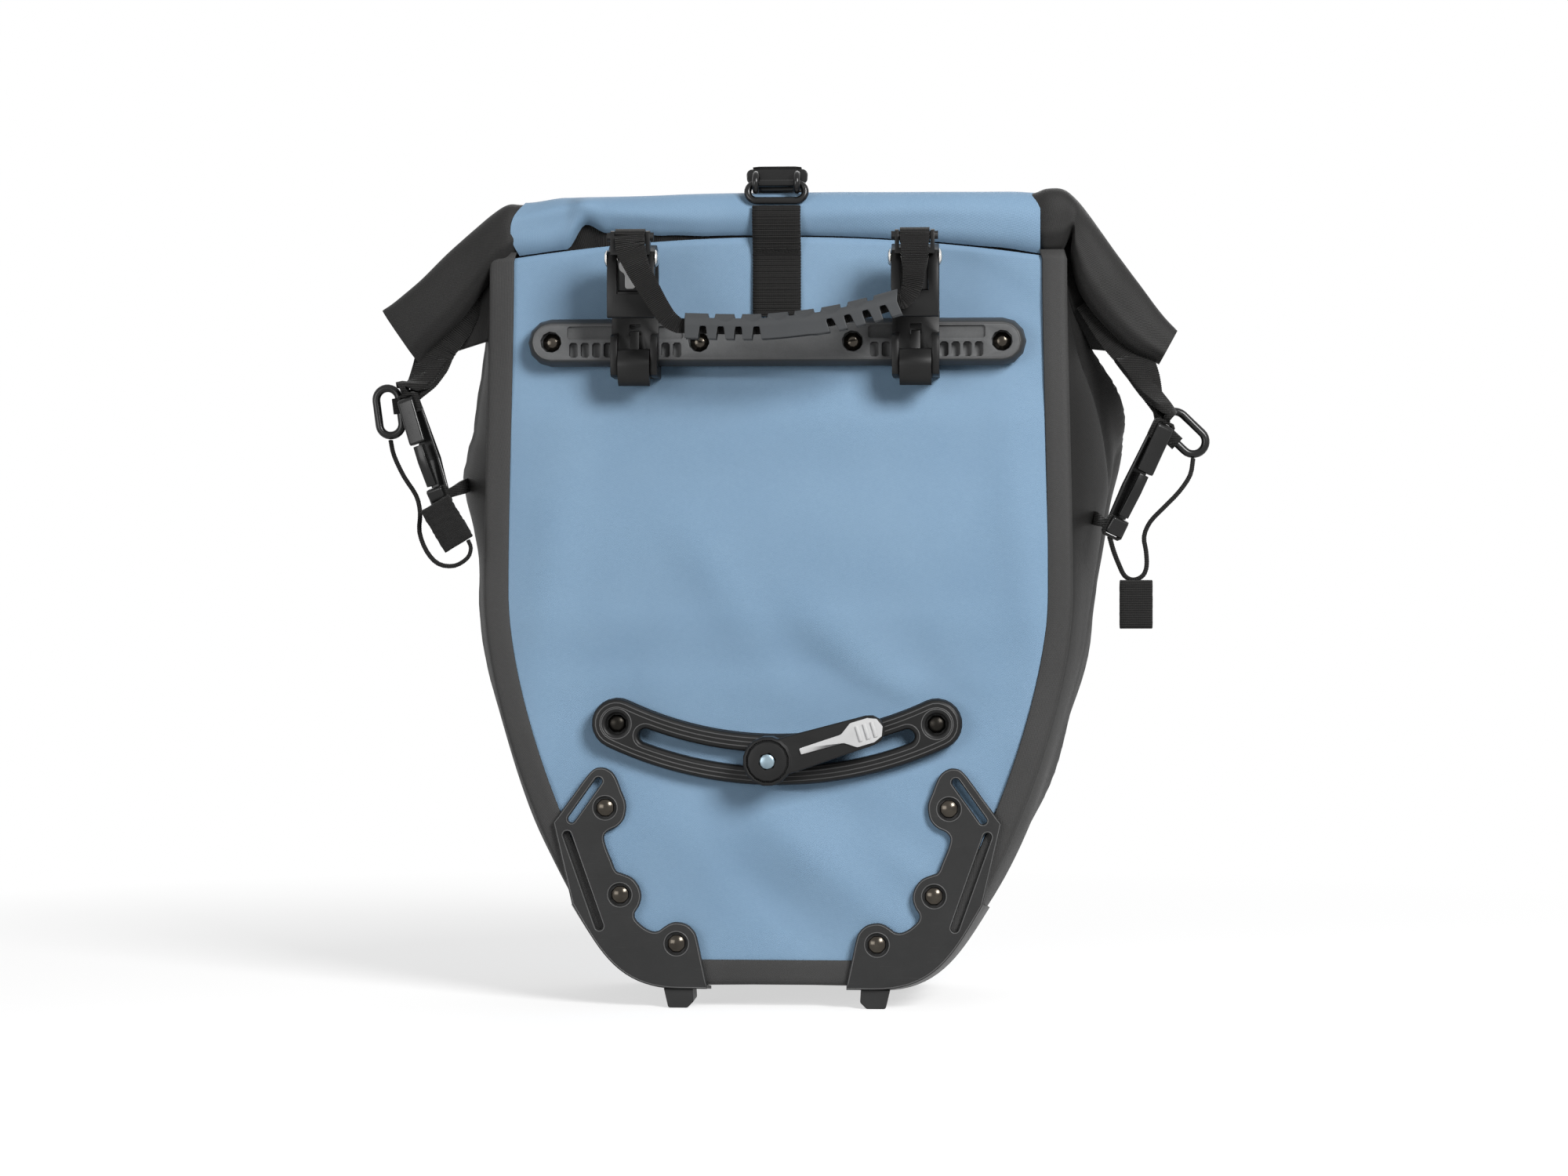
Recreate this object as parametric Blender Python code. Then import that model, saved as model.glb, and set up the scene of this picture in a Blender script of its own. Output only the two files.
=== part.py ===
"""Roll-top bicycle pannier bag, seen from its rack side: fabric shell, mounting rail with two
latching hooks, carrying handle, swivelling lower arm on a curved rail, and corner guards.

Everything is laid out in the bag's own frame: x to the right, z up from the floor and y from the
rack (negative) towards the front of the bag, with y = 0 on the outer face of the back panel.
Hardware on the back panel is drawn as (u, v, w): across, up, and out from the panel.
"""
import math

import bmesh
import bpy
from mathutils import Matrix, Vector

MM = 0.001

# Running gap between pieces that touch, and the sheet goods.
GAP = 0.3 * MM
FABRIC = 1.2 * MM
BOARD = 2.0 * MM
WEBBING = 1.5 * MM

# Back edge of the bag: one half, as Bezier knots and handles (x, z).
PANEL_HALF = 152 * MM
PANEL_TOP = 386 * MM
PANEL_TOP_RISE = 12.3 * MM
TOP_HALF = 149 * MM
ARCH_STEPS = 3
BOTTOM_HALF = 50 * MM
BOTTOM_Z = 12.5 * MM
FLANK_START = (104 * MM, 55 * MM)
FLANK_END_Z = 215 * MM
BINDING_WIDTH = 12.5 * MM

# Front of the bag.
BASE_DEPTH = 112 * MM
WAIST_DEPTH = 162 * MM
NECK_DEPTH = 14.5 * MM
FRONT_CROWN = 7 * MM
CROWN_FADE = 90 * MM
FRONT_LIFT = 3 * MM
FRONT_TOP_RISE = 11 * MM

# Rolled closure.
ROLL_CENTRE_Y = 7 * MM
ROLL_HALF_DEPTH = 12.5 * MM
ROLL_TOP = PANEL_TOP + 36 * MM
ROLL_SAG = 2 * MM
ROLL_TURNS = 2.4
ROLL_PITCH = 3.2 * MM
ROLL_STEPS_PER_TURN = 10
ROLL_HALF_LENGTH = TOP_HALF - 13 * MM

# Upper rail.
RAIL_Z = 343.6 * MM
RAIL_LENGTH = 257 * MM
RAIL_HEIGHT = 24.4 * MM
RAIL_THICKNESS = 12 * MM
RAIL_GROOVE = 4.2 * MM
RAIL_SCREW_X = (-116 * MM, -39.5 * MM, 39.5 * MM, 116 * MM)
RAIL_NOTCH_PITCH = 5.95 * MM
RAIL_NOTCH_COUNT = 10
RAIL_POCKET_X = 77.5 * MM

# Hooks and latches.
HOOK_X = 72 * MM
HOOK_WIDTH = 24 * MM
HOOK_TOP = RAIL_Z + 48.4 * MM
JAW_GAP = 18 * MM
JAW_TOP = RAIL_Z + 40.4 * MM
HOOK_WALL = 3.5 * MM
FINGER = 5 * MM
FINGER_TIP = RAIL_Z + 10.4 * MM
WINDOW_BOTTOM = RAIL_Z + 22.3 * MM
CHANNEL = 14.2 * MM
LATCH_PIVOT = (RAIL_Z + 40.9 * MM, 33.5 * MM)
LATCH_BAR = (RAIL_Z + 51.4 * MM, 38.5 * MM)
LATCH_BAR_RADIUS = 2.2 * MM
FORK_GAP = 7.9 * MM
RIVET_RADIUS = 2.0 * MM
LEVER_WIDTH = 16.2 * MM
LEVER_PIVOT = (RAIL_Z - 15.1 * MM, 19.6 * MM)
LEVER_PIN_RADIUS = 2.0 * MM

# Handle.
GRIP_HEIGHT = 13 * MM
GRIP_DEPTH = 9 * MM
HANDLE_OUT = 49 * MM
HANDLE_WEBBING_WIDTH = 15 * MM

# Lower curved rail and its arm.
ARC_RADIUS = 193.7 * MM
ARC_LOW_Z = 128.6 * MM
ARC_HOLE_ANGLE = math.radians(25.2)
ARC_SLOT_ANGLE = math.radians(20.4)
ARM_REST_ANGLE = math.radians(-1)
ARC_HALF_WIDTH = 13.2 * MM
ARC_THICKNESS = 9 * MM
ARC_SLOT = 7.5 * MM
ARC_CHANNEL = 13 * MM
ARC_CHANNEL_DEPTH = 3.4 * MM
HUB_RADIUS = 12.7 * MM
HUB_TOP = 26 * MM
ARM_LENGTH = 54.5 * MM
ARM_TILT = math.radians(17)
ARM_GAP = 11 * MM
ARM_THICKNESS = 5 * MM

# Corner guards.
GUARD_THICKNESS = 3.2 * MM
GUARD_WRAP = 24 * MM
GUARD_SCREWS = ((-88.8, 103.4), (-81.1, 58.5), (-51.8, 33.4))
FOOT_DEPTH = 21 * MM

# Fasteners.
SCREW_SHANK = 2.3 * MM
SCREW_HEAD = 4.8 * MM
SCREW_HEAD_HEIGHT = 2.2 * MM
SCREW_SINK = 5.6 * MM
WASHER_RADIUS = 6 * MM

# Closure strap.
STRAP_WIDTH = 25 * MM


# ---------------------------------------------------------------- small helpers

def mm(*values):
    return tuple(value * MM for value in values)


def clear_scene():
    for old in list(bpy.data.objects):
        bpy.data.objects.remove(old)


def make_material(name, colour, roughness, metallic=0.0):
    material = bpy.data.materials.new(name)
    material.use_nodes = True
    shader = material.node_tree.nodes["Principled BSDF"]
    shader.inputs["Base Color"].default_value = (*colour, 1)
    shader.inputs["Roughness"].default_value = roughness
    shader.inputs["Metallic"].default_value = metallic
    return material


def make_empty(name, parent=None, location=(0, 0, 0)):
    empty = bpy.data.objects.new(name, None)
    bpy.context.scene.collection.objects.link(empty)
    empty.parent = parent
    empty.location = location
    return empty


def origin_of(parent):
    """A parent's origin in the bag's frame."""
    place = Vector((0, 0, 0))
    while parent.parent:
        place += parent.location
        parent = parent.parent
    return place


def make_joint(name, parent, place):
    """An empty on a joint's axis, given in the bag's frame; the moving pieces hang from it."""
    return make_empty(name, parent, Vector(place) - origin_of(parent))


def add_object(name, mesh, material, parent):
    """Links a mesh drawn in the bag's frame, moved into its parent's own frame."""
    mesh.transform(Matrix.Translation(-origin_of(parent)))
    made = bpy.data.objects.new(name, mesh)
    bpy.context.scene.collection.objects.link(made)
    made.parent = parent
    if material:
        mesh.materials.append(material)
    mesh.shade_smooth()
    mesh.set_sharp_from_angle(angle=math.radians(35))
    return made


def mesh_of(points, faces, closed=True):
    """A mesh of faces; a closed one has its doubles merged and its faces turned outwards."""
    body = bmesh.new()
    corners = [body.verts.new(point) for point in points]
    for face in faces:
        body.faces.new([corners[i] for i in face])
    if closed:
        bmesh.ops.remove_doubles(body, verts=body.verts, dist=1e-6)
        bmesh.ops.recalc_face_normals(body, faces=body.faces)
    mesh = bpy.data.meshes.new("shape")
    body.to_mesh(mesh)
    body.free()
    return mesh


def rings_mesh(rings, closed_path=False):
    """Joins rings of equal length into one skin, with flat caps unless the path closes."""
    size = len(rings[0])
    points = [point for ring in rings for point in ring]
    faces = []
    spans = len(rings) if closed_path else len(rings) - 1
    for i in range(spans):
        near, far = i * size, (i + 1) % len(rings) * size
        for k in range(size):
            n = (k + 1) % size
            faces.append((near + k, near + n, far + n, far + k))
    if not closed_path:
        faces.append(tuple(range(size)))
        faces.append(tuple(range(len(points) - size, len(points))))
    return mesh_of(points, faces)


def sheet_object(name, rows, thickness, material, parent):
    """A sheet through a grid of points, thickened on the side away from its normals."""
    width = len(rows[0])
    points = [point for row in rows for point in row]
    faces = []
    for i in range(len(rows) - 1):
        for k in range(width - 1):
            a = i * width + k
            faces.append((a, a + 1, a + width + 1, a + width))
    made = add_object(name, mesh_of(points, faces, closed=False), material, parent)
    solidify = made.modifiers.new("thickness", "SOLIDIFY")
    solidify.thickness = thickness
    solidify.offset = -1
    solidify.use_even_offset = True
    return made


def rounded_outline(corners, steps=3):
    """Points of a polygon (x, y, radius) whose corners are rounded by arcs."""
    points = []
    for i, (x, y, radius) in enumerate(corners):
        here = Vector((x, y))
        if radius <= 0:
            points.append(here)
            continue
        before = (Vector(corners[i - 1][:2]) - here).normalized()
        after = (Vector(corners[(i + 1) % len(corners)][:2]) - here).normalized()
        half = before.angle(after) / 2
        centre = here + (before + after).normalized() * (radius / math.sin(half))
        start = here + before * (radius / math.tan(half)) - centre
        end = here + after * (radius / math.tan(half)) - centre
        turn = math.atan2(start.cross(end), start.dot(end))
        for k in range(steps + 1):
            arc = Matrix.Rotation(turn * k / steps, 2) @ start
            points.append(centre + arc)
    return points


def circle(x, y, radius, steps):
    turns = [2 * math.pi * k / steps for k in range(steps)]
    return [Vector((x + radius * math.cos(a), y + radius * math.sin(a))) for a in turns]


def stadium(length, height, steps=8, x=0, y=0):
    """A slot shape lying along x."""
    radius, straight = height / 2, length / 2 - height / 2
    points = []
    for side in (1, -1):
        for k in range(steps + 1):
            a = -math.pi / 2 + math.pi * k / steps
            points.append(Vector((x + side * (straight + radius * math.cos(a)),
                                  y + side * radius * math.sin(a))))
    return points


def arc_band(half_width, angle, steps=10, end_steps=4):
    """A band of rounded ends that follows the lower rail's arc, as (x, z) points."""
    centre = Vector((0, ARC_LOW_Z + ARC_RADIUS))

    def on_arc(radius, turn):
        return centre + Vector((radius * math.sin(turn), -radius * math.cos(turn)))

    points = []
    for k in range(steps + 1):
        points.append(on_arc(ARC_RADIUS + half_width, -angle + 2 * angle * k / steps))
    for k in range(1, end_steps):
        a = math.pi * k / end_steps
        out = Vector((math.sin(angle), -math.cos(angle)))
        along = Vector((math.cos(angle), math.sin(angle)))
        points.append(on_arc(ARC_RADIUS, angle)
                      + (out * math.cos(a) + along * math.sin(a)) * half_width)
    for k in range(steps + 1):
        points.append(on_arc(ARC_RADIUS - half_width, angle - 2 * angle * k / steps))
    for k in range(1, end_steps):
        a = math.pi * k / end_steps
        out = Vector((-math.sin(angle), -math.cos(angle)))
        along = Vector((-math.cos(angle), math.sin(angle)))
        points.append(on_arc(ARC_RADIUS, -angle)
                      + (out * -math.cos(a) + along * math.sin(a)) * half_width)
    return points


def on_panel(u, v, w):
    """A point across, up and out from the back panel, in the bag's frame."""
    return Vector((u, -w, v))


def plate_mesh(outline, holes, low, high, edge=0.0):
    """A plate parallel to the back panel from w = low to high, with a chamfered rim."""
    curve = bpy.data.curves.new("outline", "CURVE")
    curve.dimensions = "2D"
    curve.fill_mode = "BOTH"
    curve.extrude = (high - low) / 2 - edge
    curve.bevel_depth = edge
    curve.bevel_resolution = 0
    curve.offset = -edge
    for ring in [outline, *holes]:
        spline = curve.splines.new("POLY")
        spline.points.add(len(ring) - 1)
        for slot, point in zip(spline.points, ring):
            slot.co = (point[0], point[1], 0, 1)
        spline.use_cyclic_u = True
    holder = bpy.data.objects.new("outline", curve)
    bpy.context.scene.collection.objects.link(holder)
    graph = bpy.context.evaluated_depsgraph_get()
    mesh = bpy.data.meshes.new_from_object(holder.evaluated_get(graph))
    bpy.data.objects.remove(holder)
    middle = (low + high) / 2
    turn = Matrix(((1, 0, 0, 0), (0, 0, -1, -middle), (0, 1, 0, 0), (0, 0, 0, 1)))
    mesh.transform(turn)
    body = bmesh.new()
    body.from_mesh(mesh)
    bmesh.ops.remove_doubles(body, verts=body.verts, dist=1e-6)
    bmesh.ops.recalc_face_normals(body, faces=body.faces)
    body.to_mesh(mesh)
    body.free()
    return mesh


def stacked_mesh(outline_at, levels):
    """A plate parallel to the panel whose outline is drawn in or out at each height w."""
    return rings_mesh([[on_panel(p.x, p.y, w) for p in outline_at(inset)] for w, inset in levels])


def side_mesh(profile, centre_x, width):
    """A profile of (z, w) points, extruded across the bag about centre_x."""
    left = [on_panel(centre_x - width / 2, z, w) for z, w in profile]
    right = [on_panel(centre_x + width / 2, z, w) for z, w in profile]
    return rings_mesh([left, right])


def box_mesh(low, high):
    """A box between two (u, v, w) corners."""
    corners = [on_panel(u, v, w) for u in (low[0], high[0])
               for v in (low[1], high[1]) for w in (low[2], high[2])]
    faces = [(0, 1, 3, 2), (4, 6, 7, 5), (0, 4, 5, 1), (2, 3, 7, 6), (0, 2, 6, 4), (1, 5, 7, 3)]
    return mesh_of(corners, faces)


def lathe_mesh(profile, origin, axis, segments=12):
    """Turns (radius, height) points round an axis through origin; it starts and ends at radius 0."""
    axis = Vector(axis).normalized()
    side = axis.orthogonal().normalized()
    other = axis.cross(side)
    points = []
    for radius, height in profile:
        for k in range(segments):
            a = 2 * math.pi * (k + 0.5) / segments
            spoke = side * math.cos(a) + other * math.sin(a)
            points.append(Vector(origin) + axis * height + spoke * radius)
    faces = []
    for i in range(len(profile) - 1):
        for k in range(segments):
            n = (k + 1) % segments
            near, far = i * segments, (i + 1) * segments
            faces.append((near + k, near + n, far + n, far + k))
    return mesh_of(points, faces)


def joined(meshes):
    """Several closed meshes as one, for use as a cutter."""
    body = bmesh.new()
    for mesh in meshes:
        body.from_mesh(mesh)
    result = bpy.data.meshes.new("joined")
    body.to_mesh(result)
    body.free()
    return result


def combine(target, meshes, operation):
    """Adds a Boolean modifier whose operand is a hidden helper in the target's own place."""
    operand = joined(meshes)
    operand.transform(Matrix.Translation(-origin_of(target.parent)))
    helper = bpy.data.objects.new(f"{target.name}_{operation.lower()}", operand)
    bpy.context.scene.collection.objects.link(helper)
    helper.parent = target.parent
    helper.hide_render = True
    helper.display_type = "WIRE"
    modifier = target.modifiers.new(operation.lower(), "BOOLEAN")
    modifier.operation = operation
    modifier.object = helper
    return target


def cut(target, meshes):
    return combine(target, meshes, "DIFFERENCE")


def fuse(target, meshes):
    for mesh in meshes:
        combine(target, [mesh], "UNION")
    return target


def smooth_route(knots, per_span):
    """Points of a Catmull-Rom curve through the knots."""
    ends = [Vector(knots[0]) * 2 - Vector(knots[1]), *map(Vector, knots),
            Vector(knots[-1]) * 2 - Vector(knots[-2])]
    points = []
    for i in range(1, len(ends) - 2):
        a, b, c, d = ends[i - 1:i + 3]
        for k in range(per_span):
            t = k / per_span
            points.append(0.5 * (2 * b + (c - a) * t + (2 * a - 5 * b + 4 * c - d) * t ** 2
                                 + (3 * b - a - 3 * c + d) * t ** 3))
    points.append(ends[-2])
    return points


def tangents(points, closed=False):
    count = len(points)
    found = []
    for i in range(count):
        before = points[i - 1] if closed or i else points[i]
        after = points[(i + 1) % count] if closed or i < count - 1 else points[i]
        found.append((after - before).normalized())
    return found


def band_mesh(points, widths, across, thickness=WEBBING):
    """Flat webbing along points; across holds the direction of its width at each one."""
    rings = []
    for point, along, width, side in zip(points, tangents(points), widths, across):
        side = (side - along * side.dot(along)).normalized() * (width / 2)
        up = along.cross(side).normalized() * (thickness / 2)
        rings.append([point - side - up, point + side - up, point + side + up, point - side + up])
    return rings_mesh(rings)


def round_bar_mesh(points, radius, segments=8, closed=False):
    """A round bar along points, without twist."""
    along = tangents(points, closed)
    side = along[0].orthogonal().normalized()
    rings = []
    for point, direction in zip(points, along):
        side = (side - direction * side.dot(direction)).normalized()
        other = direction.cross(side)
        turns = [2 * math.pi * k / segments for k in range(segments)]
        rings.append([point + (side * math.cos(a) + other * math.sin(a)) * radius for a in turns])
    return rings_mesh(rings, closed)


def oval_points(centre, long_axis, short_axis, half_long, half_short, steps=4):
    """A stadium loop in the plane of two axes, as centre-line points of a ring."""
    long_axis, short_axis = Vector(long_axis).normalized(), Vector(short_axis).normalized()
    points = []
    for side in (1, -1):
        for k in range(steps + 1):
            a = math.pi * k / steps
            reach = side * (half_long - half_short + half_short * math.sin(a))
            points.append(Vector(centre) + long_axis * reach
                          + short_axis * (side * half_short * math.cos(a)))
    return points


def bezier(knots, t):
    a, b, c, d = knots
    s = 1 - t
    return a * s ** 3 + b * 3 * s * s * t + c * 3 * s * t * t + d * t ** 3


# ---------------------------------------------------------------- fabric shell

def back_edge_spans():
    """Bezier spans of the back edge's right half, from the bottom's middle to the top."""
    flank_x, flank_z = FLANK_START
    rise = Vector((0.5, 0, 0.866))
    middle = Vector((0, 0, BOTTOM_Z))
    heel = Vector((BOTTOM_HALF, 0, BOTTOM_Z))
    flank = Vector((flank_x, 0, flank_z))
    waist = Vector((PANEL_HALF, 0, FLANK_END_Z))
    top = Vector((TOP_HALF, 0, PANEL_TOP))
    return [
        (middle, middle.lerp(heel, 1 / 3), middle.lerp(heel, 2 / 3), heel),
        (heel, heel + Vector((30 * MM, 0, 0)), flank - rise * (30 * MM), flank),
        (flank, flank + rise * (45 * MM), waist - Vector((0, 0, 50 * MM)), waist),
        (waist, waist + Vector((0, 0, 55 * MM)), top - Vector((0, 0, 50 * MM)), top),
    ]


def front_edge_spans():
    """The same spans along the front panel's edge, which rests on the floor."""
    middle = Vector((0, BASE_DEPTH, 0))
    heel = Vector((BOTTOM_HALF, BASE_DEPTH, 0))
    flank = Vector((FLANK_START[0] - 3 * MM, BASE_DEPTH + 20 * MM, FLANK_START[1] - 5 * MM))
    waist = Vector((PANEL_HALF - 5 * MM, WAIST_DEPTH, FLANK_END_Z))
    top = Vector((PANEL_HALF - 12 * MM, NECK_DEPTH, PANEL_TOP + FRONT_LIFT))
    return [
        (middle, middle.lerp(heel, 1 / 3), middle.lerp(heel, 2 / 3), heel),
        (heel, heel + Vector(mm(28, 0, 0)), flank - Vector(mm(13, 8, 27)), flank),
        (flank, flank + Vector(mm(22, 12, 40)), waist - Vector(mm(0, 2, 55)), waist),
        (waist, waist + Vector(mm(0, 4, 80)), top + Vector(mm(2, 84, -30)), top),
    ]


# Sideways swell of the gusset at each span's start and at the top, and where samples lie.
SWELL = (0.5 * MM, 1 * MM, 8 * MM, 13 * MM, 2 * MM)
SWELL_CREST = 15 * MM
SPAN_STEPS = (2, 4, 4, 6)
WALL_SHARES = (0.14, 0.36, 0.64, 0.86)
FRONT_COLUMNS = 6
PANEL_INSET = FABRIC + 2 * GAP


def station(span, t):
    """(back point, front point, outward normal, swell) part of the way along a span."""
    back, front = back_edge_spans()[span], front_edge_spans()[span]
    before, after = bezier(back, max(t - 0.01, 0)), bezier(back, min(t + 0.01, 1))
    along = (after - before).normalized()
    normal = Vector((along.z, 0, -along.x))
    swell = SWELL[span] * (1 - t) + SWELL[span + 1] * t
    if span == len(SPAN_STEPS) - 1:
        swell += SWELL_CREST * math.sin(math.pi * min(t * 1.15, 1)) ** 1.5
    return bezier(back, t), bezier(front, t), normal, swell


def edge_stations():
    """The stations of the bag's right edge, from the bottom's middle to the top."""
    stations = [station(span, k / steps) for span, steps in enumerate(SPAN_STEPS)
                for k in range(steps)]
    return [*stations, station(len(SPAN_STEPS) - 1, 1)]


def on_side(sign, point):
    """A point of the right half, or its mirror image on the left."""
    return Vector((sign * point.x, point.y, point.z))


def wall_point(back, front, normal, swell, share):
    """A point on the outside of the gusset, between its back and front edges, off the floor."""
    point = back.lerp(front, share) + normal * (swell * math.sin(math.pi * share) ** 0.8)
    point.z = max(point.z, 0)
    return point


def crown(share, z):
    """How far the front panel swells out, from its centre (0) to its edge (1)."""
    fade = min((PANEL_TOP + FRONT_LIFT - z) / CROWN_FADE, 1)
    return FRONT_CROWN * (1 - share ** 2) * min(z / FLANK_END_Z, 1) * fade


def front_edge(span, t):
    """A point on the front panel's own edge, inside the gusset's flange."""
    _, front, normal, _ = station(span, t)
    return front - normal * PANEL_INSET


def front_point(edge, share):
    """A point on the front panel's outside, from its centre line (0) to its edge (1)."""
    rise = FRONT_TOP_RISE * (1 - share ** 2) * (edge.z / PANEL_TOP) ** 6
    depth = edge.y + FABRIC + GAP + crown(share, edge.z)
    return Vector((edge.x * share, depth, edge.z + rise))


def front_cover(x, z, clear):
    """Depth of a layer that lies clear of the front panel at a height z, near its edge."""
    for span in (1, 2, 3):
        for k in range(SPAN_STEPS[span]):
            low = front_edge(span, k / SPAN_STEPS[span])
            high = front_edge(span, (k + 1) / SPAN_STEPS[span])
            share = min(x / high.x, 1)
            start, end = front_point(low, share), front_point(high, share)
            if z <= end.z or (span, k) == (3, SPAN_STEPS[3] - 1):
                t = (z - start.z) / (end.z - start.z)
                slope = (end.y - start.y) / (end.z - start.z)
                return start.y + (end.y - start.y) * max(t, 0) + clear * math.hypot(1, slope)


def gusset_row(back, front, normal, swell):
    """Section of the gusset: flange over the back panel, the wall, flange over the front."""
    back_face = Vector((0, -(GAP + FABRIC), 0))
    wall = [wall_point(back, front, normal, swell, share) for share in WALL_SHARES]
    clear = 2 * GAP + FABRIC
    hem = front - normal * BINDING_WIDTH
    hem.y = front_cover(hem.x, hem.z, clear)
    corner = front.copy()
    corner.y = front_cover(front.x, front.z, clear)
    return [back + back_face - normal * BINDING_WIDTH, back + back_face, *wall, corner, hem]


def make_gusset(material, parent):
    right = [gusset_row(*station) for station in edge_stations()]
    left = [[on_side(-1, point) for point in row] for row in right[:0:-1]]
    return sheet_object("side_gusset", left + right, FABRIC, material, parent)


def panel_outline(inset):
    """The back panel's edge as (x, z) points, drawn in by inset."""
    right = [(back - normal * inset) for back, _, normal, _ in edge_stations()]
    side = [Vector((point.x, point.z)) for point in right]
    arch = [TOP_HALF * k / ARCH_STEPS for k in range(ARCH_STEPS - 1, -ARCH_STEPS, -1)]
    arch = [Vector((x, top_edge(x))) for x in arch]
    left = [Vector((-p.x, p.y)) for p in side[:0:-1]]
    return side + arch + left


def screw_places():
    """(x, z) of every screw that goes through the back panel."""
    arc_x = ARC_RADIUS * math.sin(ARC_HOLE_ANGLE)
    arc_z = ARC_LOW_Z + ARC_RADIUS * (1 - math.cos(ARC_HOLE_ANGLE))
    rail = [(x, RAIL_Z) for x in RAIL_SCREW_X]
    guards = [(side * -x * MM, z * MM) for side in (-1, 1) for x, z in GUARD_SCREWS]
    return rail, [(-arc_x, arc_z), (arc_x, arc_z)], guards


def make_back(fabric, board, parent):
    radius = (SCREW_SHANK + GAP) / math.cos(math.pi / 6)
    holes = [circle(x, z, radius, 6) for group in screw_places() for x, z in group]
    panel = plate_mesh(panel_outline(FABRIC + GAP * 2), holes, -FABRIC, 0)
    add_object("back_panel", panel, fabric, parent)
    inner = plate_mesh(panel_outline(6 * MM), holes, -FABRIC - GAP - BOARD, -FABRIC - GAP)
    add_object("stiffener_board", inner, board, parent)


def make_front(material, parent):
    """The front panel: rows between the two front edges, crowned outwards."""
    shares = [1 - 2 * column / FRONT_COLUMNS for column in range(FRONT_COLUMNS + 1)]
    rows = []
    for span in (1, 2, 3):
        for k in range(SPAN_STEPS[span] + (span == 3)):
            edge = front_edge(span, k / SPAN_STEPS[span])
            rows.append([front_point(edge, share) for share in shares])
    return sheet_object("front_panel", rows, FABRIC, material, parent)


def top_edge(x):
    """Height of the back panel's top edge, which is an arch."""
    return PANEL_TOP + PANEL_TOP_RISE * (1 - (x / TOP_HALF) ** 2)


def roll_section(x):
    """Two layers of fabric wound on themselves, up from the back panel's top edge, as (y, z)."""
    share = (ROLL_CENTRE_Y - FABRIC) / ROLL_HALF_DEPTH
    drop = math.sqrt(1 - share ** 2)
    half_height = (ROLL_TOP - ROLL_SAG * (x / TOP_HALF) ** 2 - top_edge(x) - 1.5 * GAP) / (1 + drop)
    centre_z = top_edge(x) + 1.5 * GAP + half_height * drop
    start = math.atan2(-drop, -share)
    outer, inner = [], []
    for k in range(round(ROLL_TURNS * ROLL_STEPS_PER_TURN) + 1):
        a = start - 2 * math.pi * k / ROLL_STEPS_PER_TURN
        shrink = ROLL_PITCH * k / ROLL_STEPS_PER_TURN
        for line, depth in ((outer, 0), (inner, 2 * FABRIC)):
            y = (ROLL_HALF_DEPTH - shrink - depth) * math.cos(a)
            z = (half_height - shrink - depth) * math.sin(a)
            line.append((ROLL_CENTRE_Y + y, centre_z + z))
    return outer + inner[::-1]


def make_roll(material, parent):
    inner = [TOP_HALF * k / ARCH_STEPS for k in range(1 - ARCH_STEPS, ARCH_STEPS)]
    rings = [[Vector((x, y, z)) for y, z in roll_section(x)]
             for x in (-ROLL_HALF_LENGTH, *inner, ROLL_HALF_LENGTH)]
    add_object("roll_top", rings_mesh(rings), material, parent)


# One drooping end of the roll: place, half height and half depth of each section. Places are
# in millimetres from the end of the panel's top edge across, and from the roll's top up.
ROLL_END = (
    ((-12.7, 7.5, -18.2), 16.4, 12.0), ((-3.0, 9, -20.8), 11.8, 11.5),
    ((7.8, 11, -28.0), 9.8, 10.5), ((21.2, 13, -43.2), 12.2, 9.5),
    ((38.1, 15, -61.2), 15.2, 8.0), ((48.3, 16, -72.2), 17.2, 6.5),
)
EAR = ((8.5, -40), (23, -54), (37.5, -82.5), (13, -74))
EAR_DEPTH = (12, 15)


def from_roll_end(x, y, z):
    return Vector((TOP_HALF + x * MM, y * MM, ROLL_TOP + z * MM))


def make_roll_end(side, name, material, parent):
    """The roll's end, pressed flat towards its tip, with the web folded in below it."""
    centres = [from_roll_end(*place) for place, _, _ in ROLL_END]
    around = 14
    rings = []
    for i, (centre, along) in enumerate(zip(centres, tangents(centres))):
        up = Vector((0, 0, 1)) if i == 0 else Vector((-along.z, 0, along.x)).normalized()
        _, half_height, half_depth = ROLL_END[i]
        ring = []
        for k in range(around):
            a = 2 * math.pi * k / around
            out = Vector((0, half_depth * MM * math.cos(a), 0))
            ring.append(centre + up * (half_height * MM * math.sin(a)) + out)
        rings.append([on_side(side, p) for p in ring])
    end = add_object(name, rings_mesh(rings), material, parent)
    faces = [[on_side(side, from_roll_end(x, y, z)) for x, z in EAR] for y in EAR_DEPTH]
    return fuse(end, [rings_mesh(faces)])


# ---------------------------------------------------------------- fasteners

def screw_mesh(x, z, seat, back=-FABRIC - GAP - BOARD - GAP):
    """A domed screw seated at height w = seat, with its nut and washer behind the board."""
    nut = 1.4 * MM
    profile = [
        (0, seat + SCREW_HEAD_HEIGHT), (SCREW_HEAD * 0.55, seat + SCREW_HEAD_HEIGHT * 0.86),
        (SCREW_HEAD, seat + SCREW_HEAD_HEIGHT * 0.3), (SCREW_HEAD, seat),
        (SCREW_SHANK, seat), (SCREW_SHANK, back), (WASHER_RADIUS, back),
        (WASHER_RADIUS, back - nut), (0, back - nut),
    ]
    return lathe_mesh(profile, (x, 0, z), (0, -1, 0), 8)


def counterbore(x, z, radius, floor, top):
    """Cutter for a screw: a wide recess down to floor and a clearance hole below it."""
    profile = [(0, top), (radius, top), (radius, floor), (SCREW_SHANK + GAP, floor),
               (SCREW_SHANK + GAP, -1 * MM), (0, -1 * MM)]
    return lathe_mesh(profile, (x, 0, z), (0, -1, 0), 10)


# ---------------------------------------------------------------- upper rail

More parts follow.
